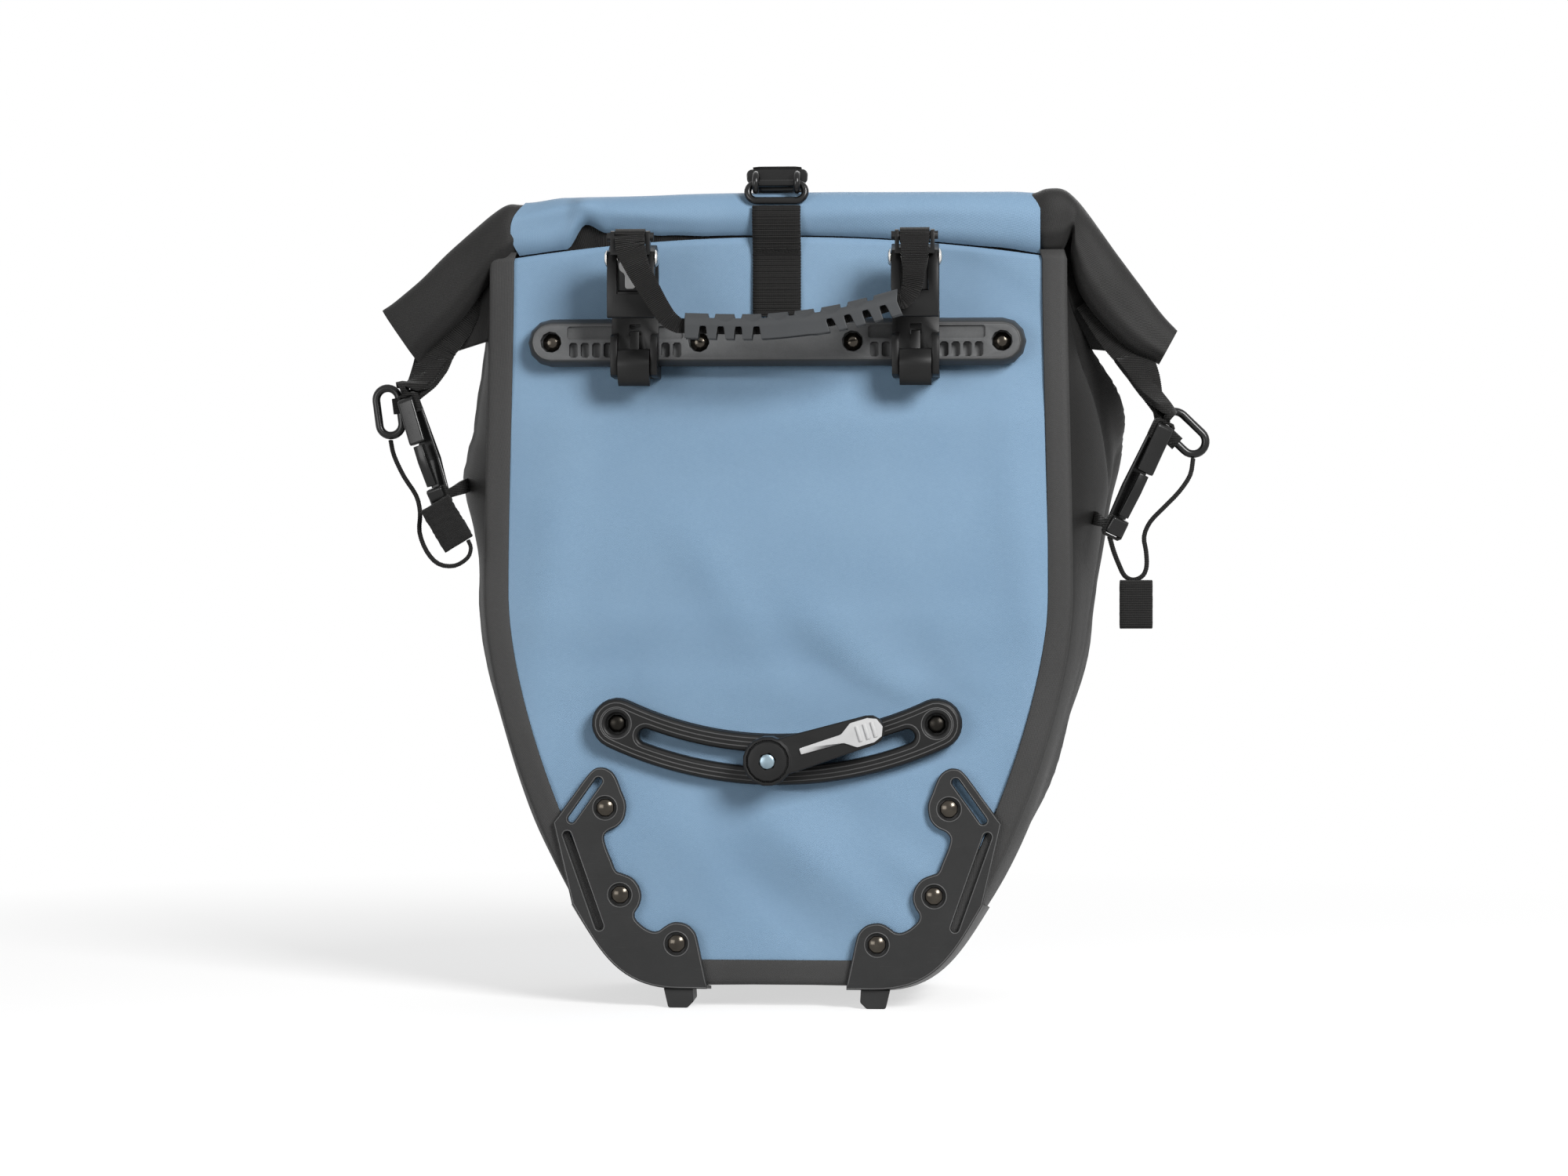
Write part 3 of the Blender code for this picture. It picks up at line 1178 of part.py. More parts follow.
# Centre-line points (x, y, z) on each side, in millimetres outwards, back and up from the top
# corner of the back panel. A ring has its centre, the direction of its long axis, its half
# lengths and where on its inner side it is held. A tab has its centre, lean, size and thickness.
SIDES = {
    "left": {
        "webbing": ((33, 14.5, -49.2), (36, 10, -57), (39, 3, -63.5)),
        "strap": ((35.5, 10.5, -57), (41, 9, -64), (44.6, 8, -68.5), (45.7, 8, -73.5)),
        "ring": ((54.5, 8, -77), (0.13, 0, 1), 12.4, 6, 2.4),
        "clip": ((43, -4, -70), (25, -3, -125)),
        "cord": ((53.7, 8, -92.2), (51.3, 4, -100), (45.6, 1, -111), (39, 0, -121),
                 (36.6, -2, -130), (36.6, -4, -140), (32.5, -6, -150), (26, -8, -156.5),
                 (17.5, -9.2, -157.5), (10.7, -9.7, -153.5), (8.9, -9.7, -148.4),
                 (10.4, -9.7, -144.2)),
        "tab": ((21.4, -9.7, -135.7), -31, (17, 25), 4),
    },
    "right": {
        "webbing": ((34, 14.5, -49), (39.5, 9.5, -60), (43.5, 4, -69)),
        "strap": ((39.5, 9.5, -60), (43.5, 9, -70), (46.2, 8, -81.5), (46.3, 8, -89),
                  (51.2, 8, -93.2)),
        "ring": ((60.5, 8, -89), (0.72, 0, -0.69), 13, 6.4, -2.4),
        "clip": ((50, -4, -85), (23, -3, -141.5)),
        "cord": ((65.25, 8, -102.5), (63.5, 4, -111), (57.4, 1.5, -119), (50.5, 1, -127),
                 (41.8, 2, -134.5), (39.2, 3, -142), (41.2, 3, -150), (38.4, 3, -158.5),
                 (35, 3, -163.4), (30.6, 3, -159.5), (25.5, 1, -153), (22.8, -1.5, -147.5),
                 (22.3, -2.9, -144.7)),
        "tab": ((35.8, 3, -177.4), 0, (17, 24), 6),
    },
}
CORD_RADIUS = 1.5 * MM
RING_BAR = 2.1 * MM
CLIP_HALF_DEPTH = 3.6 * MM
# Shares of a clip's length: its two end bars, and the mouth that the gate closes.
CLIP_BARS = (0.12, 0.88)
CLIP_MOUTH = (0.44, 0.84)
# The snap gate and its pivot, as (share of the clip's length, millimetres across).
GATE = ((0.45, 3.2), (0.83, 2.7), (0.83, 5.6), (0.6, 7.0), (0.45, 6.5))
GATE_PIVOT = (0.475, 4.9)


def from_corner(sign, point):
    """A place on one side of the bag, from the top corner of its back panel."""
    x, y, z = mm(*point)
    return Vector((sign * (TOP_HALF + x), y, PANEL_TOP + z))


def frame_of(x_axis, y_axis, z_axis, place):
    frame = Matrix((x_axis, y_axis, z_axis)).transposed().to_4x4()
    frame.translation = place
    return frame


def clip_frame(sign, start, end):
    """Matrix that lays (along, across, thick) from the clip's upper end to its lower end."""
    start, end = from_corner(sign, start), from_corner(sign, end)
    along = (end - start).normalized()
    thick = along.cross(Vector((sign * 0.35, -1, 0))).normalized()
    return frame_of(along, thick.cross(along), thick, start), (end - start).length


def flat_mesh(outline, holes, half, frame, edge=0.0):
    """A plate of half thickness either side of its own plane, placed by frame."""
    mesh = plate_mesh(outline, holes, -half, half, edge)
    lay = Matrix(((1, 0, 0, 0), (0, 0, 1, 0), (0, -1, 0, 0), (0, 0, 0, 1)))
    mesh.transform(frame @ lay)
    return mesh


def clip_outline(length):
    """A snap hook's outline (along, across): a long loop that tapers to both its ends."""
    return rounded_outline([
        (0, -4.8 * MM, 3 * MM), (length * 0.6, -7.4 * MM, 10 * MM), (length, -3.2 * MM, 2.8 * MM),
        (length, 3.4 * MM, 2.8 * MM), (length * 0.6, 7.4 * MM, 10 * MM), (0, 4.8 * MM, 3 * MM),
    ], 2)


def make_clip(tag, sign, gloss, root, joint):
    """A snap hook and the sprung gate that closes its mouth."""
    frame, length = clip_frame(sign, *SIDES[tag]["clip"])
    top, bottom = (share * length for share in CLIP_BARS)
    window = rounded_outline([
        (top, -3.0 * MM, 0.6 * MM), (length * 0.6, -4.0 * MM, 2 * MM),
        (bottom, -2.4 * MM, 0.5 * MM), (bottom, 2.1 * MM, 0.5 * MM),
        (length * 0.6, 3.6 * MM, 2 * MM), (top, 3.0 * MM, 0.6 * MM),
    ], 1)
    body = flat_mesh(clip_outline(length), [window], CLIP_HALF_DEPTH, frame, 0.6 * MM)
    clip = add_object(f"snap_hook_{tag}", body, gloss, root)
    start, end = (share * length for share in CLIP_MOUTH)
    mouth = [Vector(mm(*corner)) for corner in ((start / MM, 2.2), (end / MM, 2.2),
                                                (end / MM, 9), (start / MM, 9))]
    cut(clip, [flat_mesh(mouth, [], 9 * MM, frame)])
    gate = [Vector((a * length, b * MM)) for a, b in GATE]
    add_object(f"snap_gate_{tag}", flat_mesh(gate, [], 2.6 * MM, frame), gloss, joint)


def gate_pivot(tag, sign):
    frame, length = clip_frame(sign, *SIDES[tag]["clip"])
    return frame @ Vector((GATE_PIVOT[0] * length, GATE_PIVOT[1] * MM, 0))


def clip_eye(frame, start, end, middle, half):
    """Webbing wrapped round a clip's end bar that runs from start to end of its length."""
    def outline(reach, radius):
        left, right, side = start - reach, end + reach, CLIP_HALF_DEPTH + reach
        return rounded_outline([(left, -side, radius), (right, -side, radius),
                                (right, side, radius), (left, side, radius)], 1)

    along, across, thick = (frame.to_3x3().col[i] for i in range(3))
    eye = frame_of(along, thick, -across, frame @ Vector((0, middle, 0)))
    return flat_mesh(outline(GAP + WEBBING, 1.6 * MM), [outline(GAP, 0.3 * MM)], half, eye)


def make_ring(tag, sign, gloss, root):
    """The ring beside a clip; gives the frame of the webbing that holds its inner side."""
    centre, lengthwise, half_long, half_short, held = SIDES[tag]["ring"]
    lengthwise = Vector((sign * lengthwise[0], lengthwise[1], lengthwise[2])).normalized()
    across = Vector((0, 1, 0)).cross(lengthwise)
    centre = from_corner(sign, centre)
    loop = oval_points(centre, lengthwise, across, half_long * MM, half_short * MM)
    add_object(f"end_ring_{tag}", round_bar_mesh(loop, RING_BAR, 8, True), gloss, root)
    place = centre + across * (half_short * MM) + lengthwise * (held * MM)
    return frame_of(across, Vector((0, 1, 0)), across.cross(Vector((0, 1, 0))), place)


def make_side(tag, sign, gusset, webbing, gloss, root):
    """Webbing, ring, keeper cord and tab that hang beside the bag, and the gusset's loop."""
    shape = SIDES[tag]
    clip, length = clip_frame(sign, *shape["clip"])
    sewn = [from_corner(sign, p) for p in shape["webbing"]]
    ends = [clip @ Vector(mm(along, 0, 0)) for along in (-6.5, -3.6, -1.3)]
    route = smooth_route(sewn + ends, 2)
    last = len(route) - 1
    widths = [(20 - 15.2 * k / last) * MM for k in range(last + 1)]
    lean, across = Vector((sign, 0.5, 0.25)), -clip.to_3x3().col[1]
    leans = [lean.lerp(across, k / last) for k in range(last + 1)]
    strip = band_mesh(route, widths, leans, 2 * WEBBING)
    strip = add_object(f"end_webbing_{tag}", strip, webbing, root)
    strap = smooth_route([from_corner(sign, p) for p in shape["strap"]], 2)
    strap_mesh = band_mesh(strap, [6 * MM] * len(strap), [Vector((0, 1, 0))] * len(strap))
    ring_frame = make_ring(tag, sign, gloss, root)
    inside = RING_BAR + GAP
    eye_hole = circle(0, 0, inside / math.cos(math.pi / 10), 10)
    ring_eye = flat_mesh(circle(0, 0, inside + WEBBING, 10), [eye_hole], 4 * MM, ring_frame)
    top_eye = clip_eye(clip, 0, CLIP_BARS[0] * length, 0, 2.4 * MM)
    fuse(strip, [top_eye, strap_mesh, ring_eye])

    line = smooth_route([from_corner(sign, p) for p in shape["cord"]], 2)
    add_object(f"keeper_cord_{tag}", round_bar_mesh(line, CORD_RADIUS, 6), webbing, root)
    place, lean_degrees, (wide, tall), thick = shape["tab"]
    half = thick / 2 * MM
    tab_mesh = plate_mesh(tab_outline(wide * MM, tall * MM), [], -half, half, 0.8 * MM)
    turn = Matrix.Rotation(math.radians(-sign * lean_degrees), 4, "Y")
    tab_mesh.transform(Matrix.Translation(from_corner(sign, place)) @ turn)
    add_object(f"keeper_tab_{tag}", tab_mesh, webbing, root)

    middle, wall = -0.2 * MM, CLIP_HALF_DEPTH + GAP + WEBBING / 2
    eye_start = CLIP_BARS[1] * length
    seat = clip @ Vector(((eye_start + length) / 2, middle, -sign_of_side(clip, sign) * wall))
    places, leans = [], []
    for y in range(40, 21, -3):
        place, normal = on_gusset(gusset, Vector((sign * 200 * MM, y * MM, seat.z)))
        places.append(place)
        leans.append(normal.cross(Vector((0, -1, 0))))
    inward = clip.to_3x3().col[2] * -sign_of_side(clip, sign)
    shares = ((0.35, 0.8 * MM), (0.7, 1.4 * MM), (1, 0))
    places += [places[-1].lerp(seat, share) + inward * slack for share, slack in shares]
    leans += [leans[-1].lerp(clip.to_3x3().col[0] * sign, share) for share, _ in shares]
    widths = [7 * MM] * (len(places) - 2) + [5.6 * MM, 4.4 * MM]
    mesh = band_mesh(places, widths, leans)
    made = add_object(f"side_loop_{tag}", mesh, webbing, root)
    fuse(made, [clip_eye(clip, eye_start, length, middle, 1.9 * MM)])


def sign_of_side(clip, sign):
    """1 where the clip's thickness axis points away from the bag."""
    return 1 if clip.to_3x3().col[2].x * sign > 0 else -1


def on_gusset(gusset, near):
    """Middle and normal of a layer of webbing that lies on the gusset where it faces a point."""
    shape = gusset.evaluated_get(bpy.context.evaluated_depsgraph_get())
    _, place, normal, _ = shape.closest_point_on_mesh(near)
    return place + normal * (1.5 * GAP + WEBBING / 2), normal


def tab_outline(wide, tall):
    radius = 2 * MM
    return rounded_outline([(-wide / 2, -tall / 2, radius), (wide / 2, -tall / 2, radius),
                            (wide / 2, tall / 2, radius), (-wide / 2, tall / 2, radius)], 2)


# ---------------------------------------------------------------- assembly

def centre_on_floor(root):
    """Moves the bag so that the world origin is the middle of the bottom of its bounding box."""
    graph = bpy.context.evaluated_depsgraph_get()
    low, high = Vector((1, 1, 1)), Vector((-1, -1, -1))
    for shape in bpy.context.scene.objects:
        if shape.type != "MESH" or shape.hide_render or shape.name.startswith("keeper"):
            continue
        made = shape.evaluated_get(graph)
        mesh = made.to_mesh()
        for vertex in mesh.vertices:
            point = made.matrix_world @ vertex.co
            low = Vector(map(min, low, point))
            high = Vector(map(max, high, point))
        made.to_mesh_clear()
    root.location = (-(low.x + high.x) / 2, -(low.y + high.y) / 2, -low.z)


def build_bag():
    clear_scene()
    bag_fabric = make_material("blue_fabric", (0.17, 0.31, 0.47), 0.62)
    dark_fabric = make_material("black_fabric", (0.028, 0.027, 0.028), 0.7)
    webbing = make_material("black_webbing", (0.018, 0.017, 0.016), 0.75)
    plastic = make_material("black_plastic", (0.035, 0.034, 0.035), 0.45)
    gloss = make_material("gloss_plastic", (0.012, 0.012, 0.013), 0.2)
    rubber = make_material("grip_rubber", (0.03, 0.03, 0.031), 0.55)
    pad = make_material("grey_pad", (0.45, 0.44, 0.45), 0.5)
    steel = make_material("bright_steel", (0.75, 0.74, 0.72), 0.22, 1.0)
    dark_steel = make_material("black_nickel", (0.16, 0.145, 0.13), 0.18, 1.0)
    zinc = make_material("zinc_steel", (0.62, 0.68, 0.72), 0.3, 1.0)
    board = make_material("stiffener_plastic", (0.05, 0.05, 0.05), 0.6)

    root = make_empty("bag")
    make_back(bag_fabric, board, root)
    gusset = make_gusset(dark_fabric, root)
    make_front(bag_fabric, root)
    make_roll(bag_fabric, root)
    make_rail(plastic, steel, root)
    make_arc_rail(plastic, dark_steel, root)
    make_closure(webbing, gloss, root)

    latches = {}
    for side, tag in ((-1, "left"), (1, "right")):
        make_roll_end(side, f"roll_end_{tag}", dark_fabric, root)
        make_guard(side, tag, plastic, dark_steel, root)
        x = side * HOOK_X
        slide = make_joint(f"{tag}_hook_slide", root, on_panel(x, RAIL_Z, HOOK_BACK))
        make_hook(side, tag, plastic, steel, slide)
        latches[tag] = make_joint(f"{tag}_latch", slide, on_panel(x, *LATCH_PIVOT))
        make_latch(side, tag, plastic, pad, webbing, latches[tag])
        lever = make_joint(f"{tag}_clamp_lever", slide, on_panel(x, *LEVER_PIVOT))
        make_clamp_lever(side, tag, plastic, lever)
        gate = make_joint(f"{tag}_snap_gate", root, gate_pivot(tag, side))
        make_clip(tag, side, gloss, root, gate)
        make_side(tag, side, gusset, webbing, gloss, root)

    swing = make_joint("handle_swing", latches["left"], on_panel(-HOOK_X, *LATCH_BAR))
    make_grip(rubber, swing)
    make_handle_webbing(webbing, swing)

    travel = make_joint("anchor_travel", root, (0, 0, ARC_LOW_Z + ARC_RADIUS))
    make_carriage(plastic, zinc, travel)
    turn = make_joint("arm_turn", travel, arm_centre())
    make_arm(plastic, pad, turn)
    centre_on_floor(root)


build_bag()
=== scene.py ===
import math

import bmesh
import bpy
from mathutils import Matrix, Vector, noise


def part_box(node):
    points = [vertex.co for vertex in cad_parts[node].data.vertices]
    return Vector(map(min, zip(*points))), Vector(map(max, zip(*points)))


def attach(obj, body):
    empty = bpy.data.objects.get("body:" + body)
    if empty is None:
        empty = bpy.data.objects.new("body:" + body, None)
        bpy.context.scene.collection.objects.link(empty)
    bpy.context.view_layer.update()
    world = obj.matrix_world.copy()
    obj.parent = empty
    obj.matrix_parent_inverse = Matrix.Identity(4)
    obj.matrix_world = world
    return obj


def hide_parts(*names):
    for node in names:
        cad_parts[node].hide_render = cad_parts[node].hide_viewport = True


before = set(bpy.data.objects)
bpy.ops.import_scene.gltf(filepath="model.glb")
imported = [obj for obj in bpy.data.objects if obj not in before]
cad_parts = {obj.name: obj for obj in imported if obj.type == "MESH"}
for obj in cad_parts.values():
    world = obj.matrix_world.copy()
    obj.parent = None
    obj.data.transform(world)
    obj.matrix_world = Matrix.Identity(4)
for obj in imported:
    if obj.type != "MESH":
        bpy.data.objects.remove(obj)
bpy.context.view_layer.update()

mm = 0.001
hair = 0.05  # a depth in millimetres that doesn't show
bothSides = (("left", -1), ("right", 1))
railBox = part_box("upper_rail")
railMiddle = (railBox[0] + railBox[1]) / 2
# the bag's own origin in the world: mid-width, on the face of its back panel, on the floor
home = Vector((railMiddle.x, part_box("back_panel")[0].y, 0))


def at(point):  # a place in the bag's own frame, in millimetres, to the world
    return home + Vector(point) * mm


def ownPlace(node):  # the middle of a solid's box, in the bag's own frame, in millimetres
    low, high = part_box(node)
    return ((low + high) / 2 - home) / mm


def newObject(name, data):
    made = bpy.data.objects.new(name, data)
    bpy.context.scene.collection.objects.link(made)
    return made


def aimAlong(made, direction):  # turns the camera or a lamp to face along a direction
    made.rotation_mode = "QUATERNION"
    made.rotation_quaternion = direction.to_track_quat("-Z", "Y")


class Sock:  # one socket of a node tree, with arithmetic
    def __init__(self, tree, socket):
        self.tree = tree
        self.socket = socket

    def math(self, operation, *values):
        given = {f"_{i}": value for i, value in enumerate((self, *values))}
        return Tree(self.tree).node("ShaderNodeMath", {"operation": operation}, **given)

    def __add__(self, other):
        return self.math("ADD", other)

    __radd__ = __add__

    def __mul__(self, other):
        return self.math("MULTIPLY", other)

    __rmul__ = __mul__

    def __sub__(self, other):
        return self.math("SUBTRACT", other)

    def __rsub__(self, other):
        return (self * -1).math("ADD", other)

    def sine(self):
        return self.math("SINE")

    def size(self):
        return self.math("ABSOLUTE")

    def power(self, other):
        return self.math("POWER", other)

    def clamped(self):
        made = self.math("ADD", 0.0)
        made.socket.node.use_clamp = True
        return made


class Tree:  # a node tree, with one way to make its nodes
    def __init__(self, tree):
        self.tree = tree

    def node(self, kind, settings=None, out=0, **values):  # inputs by name, or _ and their number
        made = self.tree.nodes.new(kind)
        for key, value in (settings or {}).items():
            setattr(made, key, value)
        for key, value in values.items():
            slot = made.inputs[int(key[1:]) if key[1:].isdigit() else key.replace("_", " ")]
            if isinstance(value, Sock):
                self.tree.links.new(value.socket, slot)
            else:
                slot.default_value = value
        return Sock(self.tree, made.outputs[out])

    def seenRays(self):  # 1 for camera, glossy and transmission rays, 0 for those that light the object
        rays = [self.node("ShaderNodeLightPath", out=f"Is {kind} Ray")
                for kind in ("Camera", "Glossy", "Transmission")]
        return rays[0].math("MAXIMUM", rays[1]).math("MAXIMUM", rays[2])


# noise cells to the metre, and how far a scratch is drawn out
grainUser = {
    "patches": 13.0, "fibres": 700.0, "fuzz": 1300.0, "spark": 1500.0, "flow": 30.0, "rubbed": 90.0,
    "scratches": 60.0, "tarnish": 160.0, "turning": 2400.0, "stretch": 26.0,
}


class Finish(Tree):  # one material and the nodes that build it
    def __init__(self, name, roughness=0.5, metallic=0.0, **fixed):
        self.material = bpy.data.materials.new(name)
        self.material.use_nodes = True
        super().__init__(self.material.node_tree)
        self.shader = self.tree.nodes["Principled BSDF"]
        for key, value in {"Roughness": roughness, "Metallic": metallic, **fixed}.items():
            self.shader.inputs[key.replace("_", " ")].default_value = value

    def feed(self, name, value):
        self.tree.links.new(value.socket, self.shader.inputs[name])

    def place(self):  # object coordinates
        return self.node("ShaderNodeTexCoord", out="Object")

    def cloth(self):  # the piece's own UV map, laid out in metres across and along the cloth
        return self.node("ShaderNodeUVMap", {"uv_map": "cloth"})

    def parts(self, vector):
        split = self.node("ShaderNodeSeparateXYZ", _0=vector).socket.node
        return [Sock(self.tree, out) for out in split.outputs]

    def noise(self, grain, detail=3.0, rough=0.55, vector=None):
        return self.node("ShaderNodeTexNoise", Vector=vector or self.place(), Scale=grainUser[grain],
                         Detail=detail, Roughness=rough)

    def scratches(self):  # fine lines along one direction
        stretch = grainUser["stretch"]
        turned = self.node("ShaderNodeMapping", Vector=self.place(), Rotation=(0.3, 0.9, 0.5),
                           Scale=(1, stretch, stretch))
        return self.noise("scratches", 2.0, 0.7, turned)

    def tint(self, dark, light, amount):
        return self.node("ShaderNodeMix", {"data_type": "RGBA"}, out=2,
                         _0=amount, _6=(*dark, 1), _7=(*light, 1))

    def bump(self, height, strength, distance):
        self.feed("Normal", self.node("ShaderNodeBump", Height=height, Strength=strength, Distance=distance))


def perPitch(pitch):  # how fast a wave turns that comes back every pitch, in millimetres
    return 2 * math.pi / (pitch * mm)


def coatedCloth(name, dark, light, roughness, sheen=0.0, glint=0.15, pitch=0.86):
    # woven polyester with a laminated face: a fine twill under a soft satin skin
    finish = Finish(name, roughness, Sheen_Weight=sheen, Sheen_Roughness=0.5, Specular_IOR_Level=glint)
    u, v, _ = finish.parts(finish.cloth())
    turn = perPitch(pitch)
    warp = (u * turn + v * (turn * 0.62)).sine()
    weft = (v * (turn * 1.18) - u * (turn * 0.2)).sine()
    weave = warp * 0.62 + weft * 0.38
    patches = finish.noise("patches", 4.0)
    fine = finish.noise("fibres", 2.0)
    amount = (patches * 0.75 + fine * 0.35 + weave * 0.22 - 0.06).clamped()
    finish.feed("Base Color", finish.tint(dark, light, amount))
    finish.feed("Roughness", (patches * 0.16 + fine * 0.08 + (roughness - 0.12)).clamped())
    finish.bump(weave * 0.6 + fine * 0.4, 0.5, 0.16 * mm)
    return finish.material


def ribbedWebbing(name, dark, light, pitch):
    # nylon webbing: a fine over-and-under weave, fuzzed by use
    finish = Finish(name, 0.7, Sheen_Weight=0.1, Sheen_Roughness=0.4, Specular_IOR_Level=0.12)
    u, v, _ = finish.parts(finish.cloth())
    turn = perPitch(pitch)
    ribs = (v * turn).sine()
    threads = (u * (turn * 1.9)).sine()
    fuzz = finish.noise("fuzz", 3.0)
    amount = (ribs * 0.3 + threads * 0.12 + fuzz * 0.7).clamped()
    finish.feed("Base Color", finish.tint(dark, light, amount))
    finish.feed("Roughness", (fuzz * 0.3 + 0.55).clamped())
    finish.bump(ribs * 0.4 + threads * 0.25 + fuzz * 0.35, 0.8, 0.25 * mm)
    return finish.material


def mouldedPlastic(name, dark, light, roughness, grain=0.25, glint=0.3, wear=0.15, flank=0.0):
    # moulded nylon: spark-eroded grain, faint flow marks, rubbed patches and fine scratches;
    # flank is painted shade: how much darker the sides that face neither the rack nor the bag are painted
    finish = Finish(name, roughness, Specular_IOR_Level=glint)
    grainy = finish.noise("spark", 2.0)
    flow = finish.noise("flow", 4.0)
    rubbed = finish.noise("rubbed", 5.0, 0.65)
    scratch = (finish.scratches() * 5 - 3.1).clamped()
    shade = (flow * 0.6 + rubbed * 0.3 + grainy * 0.2 - 0.1 + scratch * wear).clamped()
    # painted shade: sides that face away from the bag's face are painted darker, standing in for their shadow
    if flank:
        facing = finish.parts(finish.node("ShaderNodeNewGeometry", out="Normal"))[1].size()
        shade = (shade + (facing.power(6) - 1) * flank).clamped()
    finish.feed("Base Color", finish.tint(dark, light, shade))
    finish.feed("Roughness", (roughness - 0.1 + rubbed * 0.2 + grainy * 0.05 + scratch * 0.1).clamped())
    finish.bump(grainy * 0.5 + rubbed * 0.4 - scratch * 0.2, grain, 0.06 * mm)
    return finish.material


def platedMetal(name, dark, light, roughness):
    # plated steel with fine turning marks and slight tarnish
    finish = Finish(name, roughness, 1.0)
    tarnish = finish.noise("tarnish", 4.0)
    finish.feed("Base Color", finish.tint(dark, light, tarnish))
    finish.feed("Roughness", (tarnish * 0.18 + (roughness - 0.06)).clamped())
    finish.bump(finish.noise("turning", 2.0), 0.12, 0.03 * mm)
    return finish.material


def grey(value, warm=0.0):  # a near-neutral colour, a little warmer or cooler
    return (value * (1 + warm), value, value * (1 - warm))


finishes = {
    "blue": coatedCloth("blueLaminate", (0.150, 0.250, 0.370), (0.224, 0.338, 0.462), 0.52, 0.04),
    "black": coatedCloth("blackLaminate", grey(0.011, 0.02), grey(0.034, 0.02), 0.5, 0.02, 0.12),
    # the side walls: the same black cloth painted darker, as painted shade
    "side": coatedCloth("shadedSideLaminate", grey(0.007, 0.02), grey(0.023, 0.02), 0.52, 0.02, 0.08),
    # the welded tape: a little greyer than the black cloth, and lighter still as a painted sheen
    "binding": coatedCloth("weldedTape", grey(0.023, 0.01), grey(0.060, 0.01), 0.5, 0.03, 0.16),
    "webbing": ribbedWebbing("blackWebbing", grey(0.006), grey(0.026, 0.04), 1.2),
    "fuzzy": ribbedWebbing("loopTape", grey(0.008), grey(0.03, 0.03), 0.7),
    "thread": ribbedWebbing("blackThread", grey(0.006), grey(0.02, 0.03), 0.4),
    # the rail's side walls are painted darker by flank, a painted shadow
    "rail": mouldedPlastic("railMoulding", grey(0.036, -0.02), grey(0.160, -0.02), 0.42, flank=0.8),
    "plastic": mouldedPlastic("darkMoulding", grey(0.006), grey(0.016), 0.36, 0.25, 0.18),
    "guard": mouldedPlastic("guardMoulding", grey(0.014), grey(0.033), 0.4, 0.3, 0.2, 0.5),
    # the raised beads: lighter for edge wear and as a painted highlight along the rims
    "rim": mouldedPlastic("wornHighlitRim", grey(0.045), grey(0.115), 0.38, 0.2, 0.4),
    "gloss": mouldedPlastic("glossMoulding", grey(0.005), grey(0.010), 0.2, 0.06, 0.3, 0.05),
    "rubber": mouldedPlastic("gripRubber", grey(0.030, -0.06), grey(0.060, -0.06), 0.5, 0.3, 0.3),
    "pad": mouldedPlastic("greyInlay", grey(0.47), grey(0.56), 0.5),
    "steel": platedMetal("brightSteel", (0.70, 0.69, 0.66), (0.86, 0.85, 0.83), 0.22),
    "nickel": platedMetal("blackNickel", (0.030, 0.026, 0.022), (0.085, 0.075, 0.062), 0.16),
    # the curved rail's screws: black nickel painted darker, as painted shade of the bores they sit in
    "shadedMetal": platedMetal("shadedNickel", (0.008, 0.007, 0.006), (0.026, 0.024, 0.021), 0.3),
    "zinc": platedMetal("zincPlate", (0.14, 0.20, 0.24), (0.30, 0.38, 0.43), 0.3),
    "board": mouldedPlastic("boardSheet", grey(0.04), grey(0.06), 0.6),
}
# the record's slot that each finish belongs to
slotOf = {
    "blue": "blue_fabric", **dict.fromkeys(("black", "side"), "black_fabric"), "rubber": "grip_rubber",
    **dict.fromkeys(("webbing", "fuzzy", "thread"), "black_webbing"), "gloss": "gloss_plastic",
    **dict.fromkeys(("plastic", "guard", "rim"), "black_plastic"),
}
print("finishes made")


cameraUser = {"target": (3.6, 0, 217), "distance": 1800, "azimuth": 3.5, "span": 810,
              "film": 36, "clip": (0.05, 50)}


def makeCamera(user):
    made = newObject("camera", bpy.data.cameras.new("camera"))
    turn = math.radians(user["azimuth"])
    back = Vector((math.sin(turn), -math.cos(turn), 0))
    made.location = at(user["target"]) + back * user["distance"] * mm
    aimAlong(made, -back)
    made.data.sensor_width = user["film"]
    made.data.lens = user["film"] * user["distance"] / user["span"]
    made.data.clip_start, made.data.clip_end = user["clip"]
    bpy.context.scene.camera = made


makeCamera(cameraUser)
print("camera placed")


# helpers; every shape is drawn in the bag's own frame, in millimetres

def smoothRoute(knots, perSpan):  # points of a Catmull-Rom curve through the knots
    ends = [Vector(knots[0]) * 2 - Vector(knots[1]), *map(Vector, knots),
            Vector(knots[-1]) * 2 - Vector(knots[-2])]
    points = []
    for i in range(1, len(ends) - 2):
        a, b, c, d = ends[i - 1:i + 3]
        for k in range(perSpan):
            t = k / perSpan
            points.append(0.5 * (2 * b + (c - a) * t + (2 * a - 5 * b + 4 * c - d) * t ** 2
                                 + (3 * b - a - 3 * c + d) * t ** 3))
    points.append(ends[-2])
    return points


def smoothValues(values, perSpan):  # numbers eased as the points of a route are
    return [point.x for point in smoothRoute([(value, 0, 0) for value in values], perSpan)]


def evenRoute(points, step, extras=()):  # the same route with even steps; extras are values that go with it
    lengths = [0.0]
    for a, b in zip(points, points[1:]):
        lengths.append(lengths[-1] + (b - a).length)
    count = max(2, round(lengths[-1] / step))
    places, values, i = [], [[] for _ in extras], 0
    for k in range(count + 1):
        wanted = lengths[-1] * k / count
        while i < len(points) - 2 and lengths[i + 1] < wanted:
            i += 1
        t = (wanted - lengths[i]) / max(lengths[i + 1] - lengths[i], 1e-9)
        places.append(points[i].lerp(points[i + 1], t))
        for out, extra in zip(values, extras):
            out.append(extra[i] * (1 - t) + extra[i + 1] * t)
    return places, values


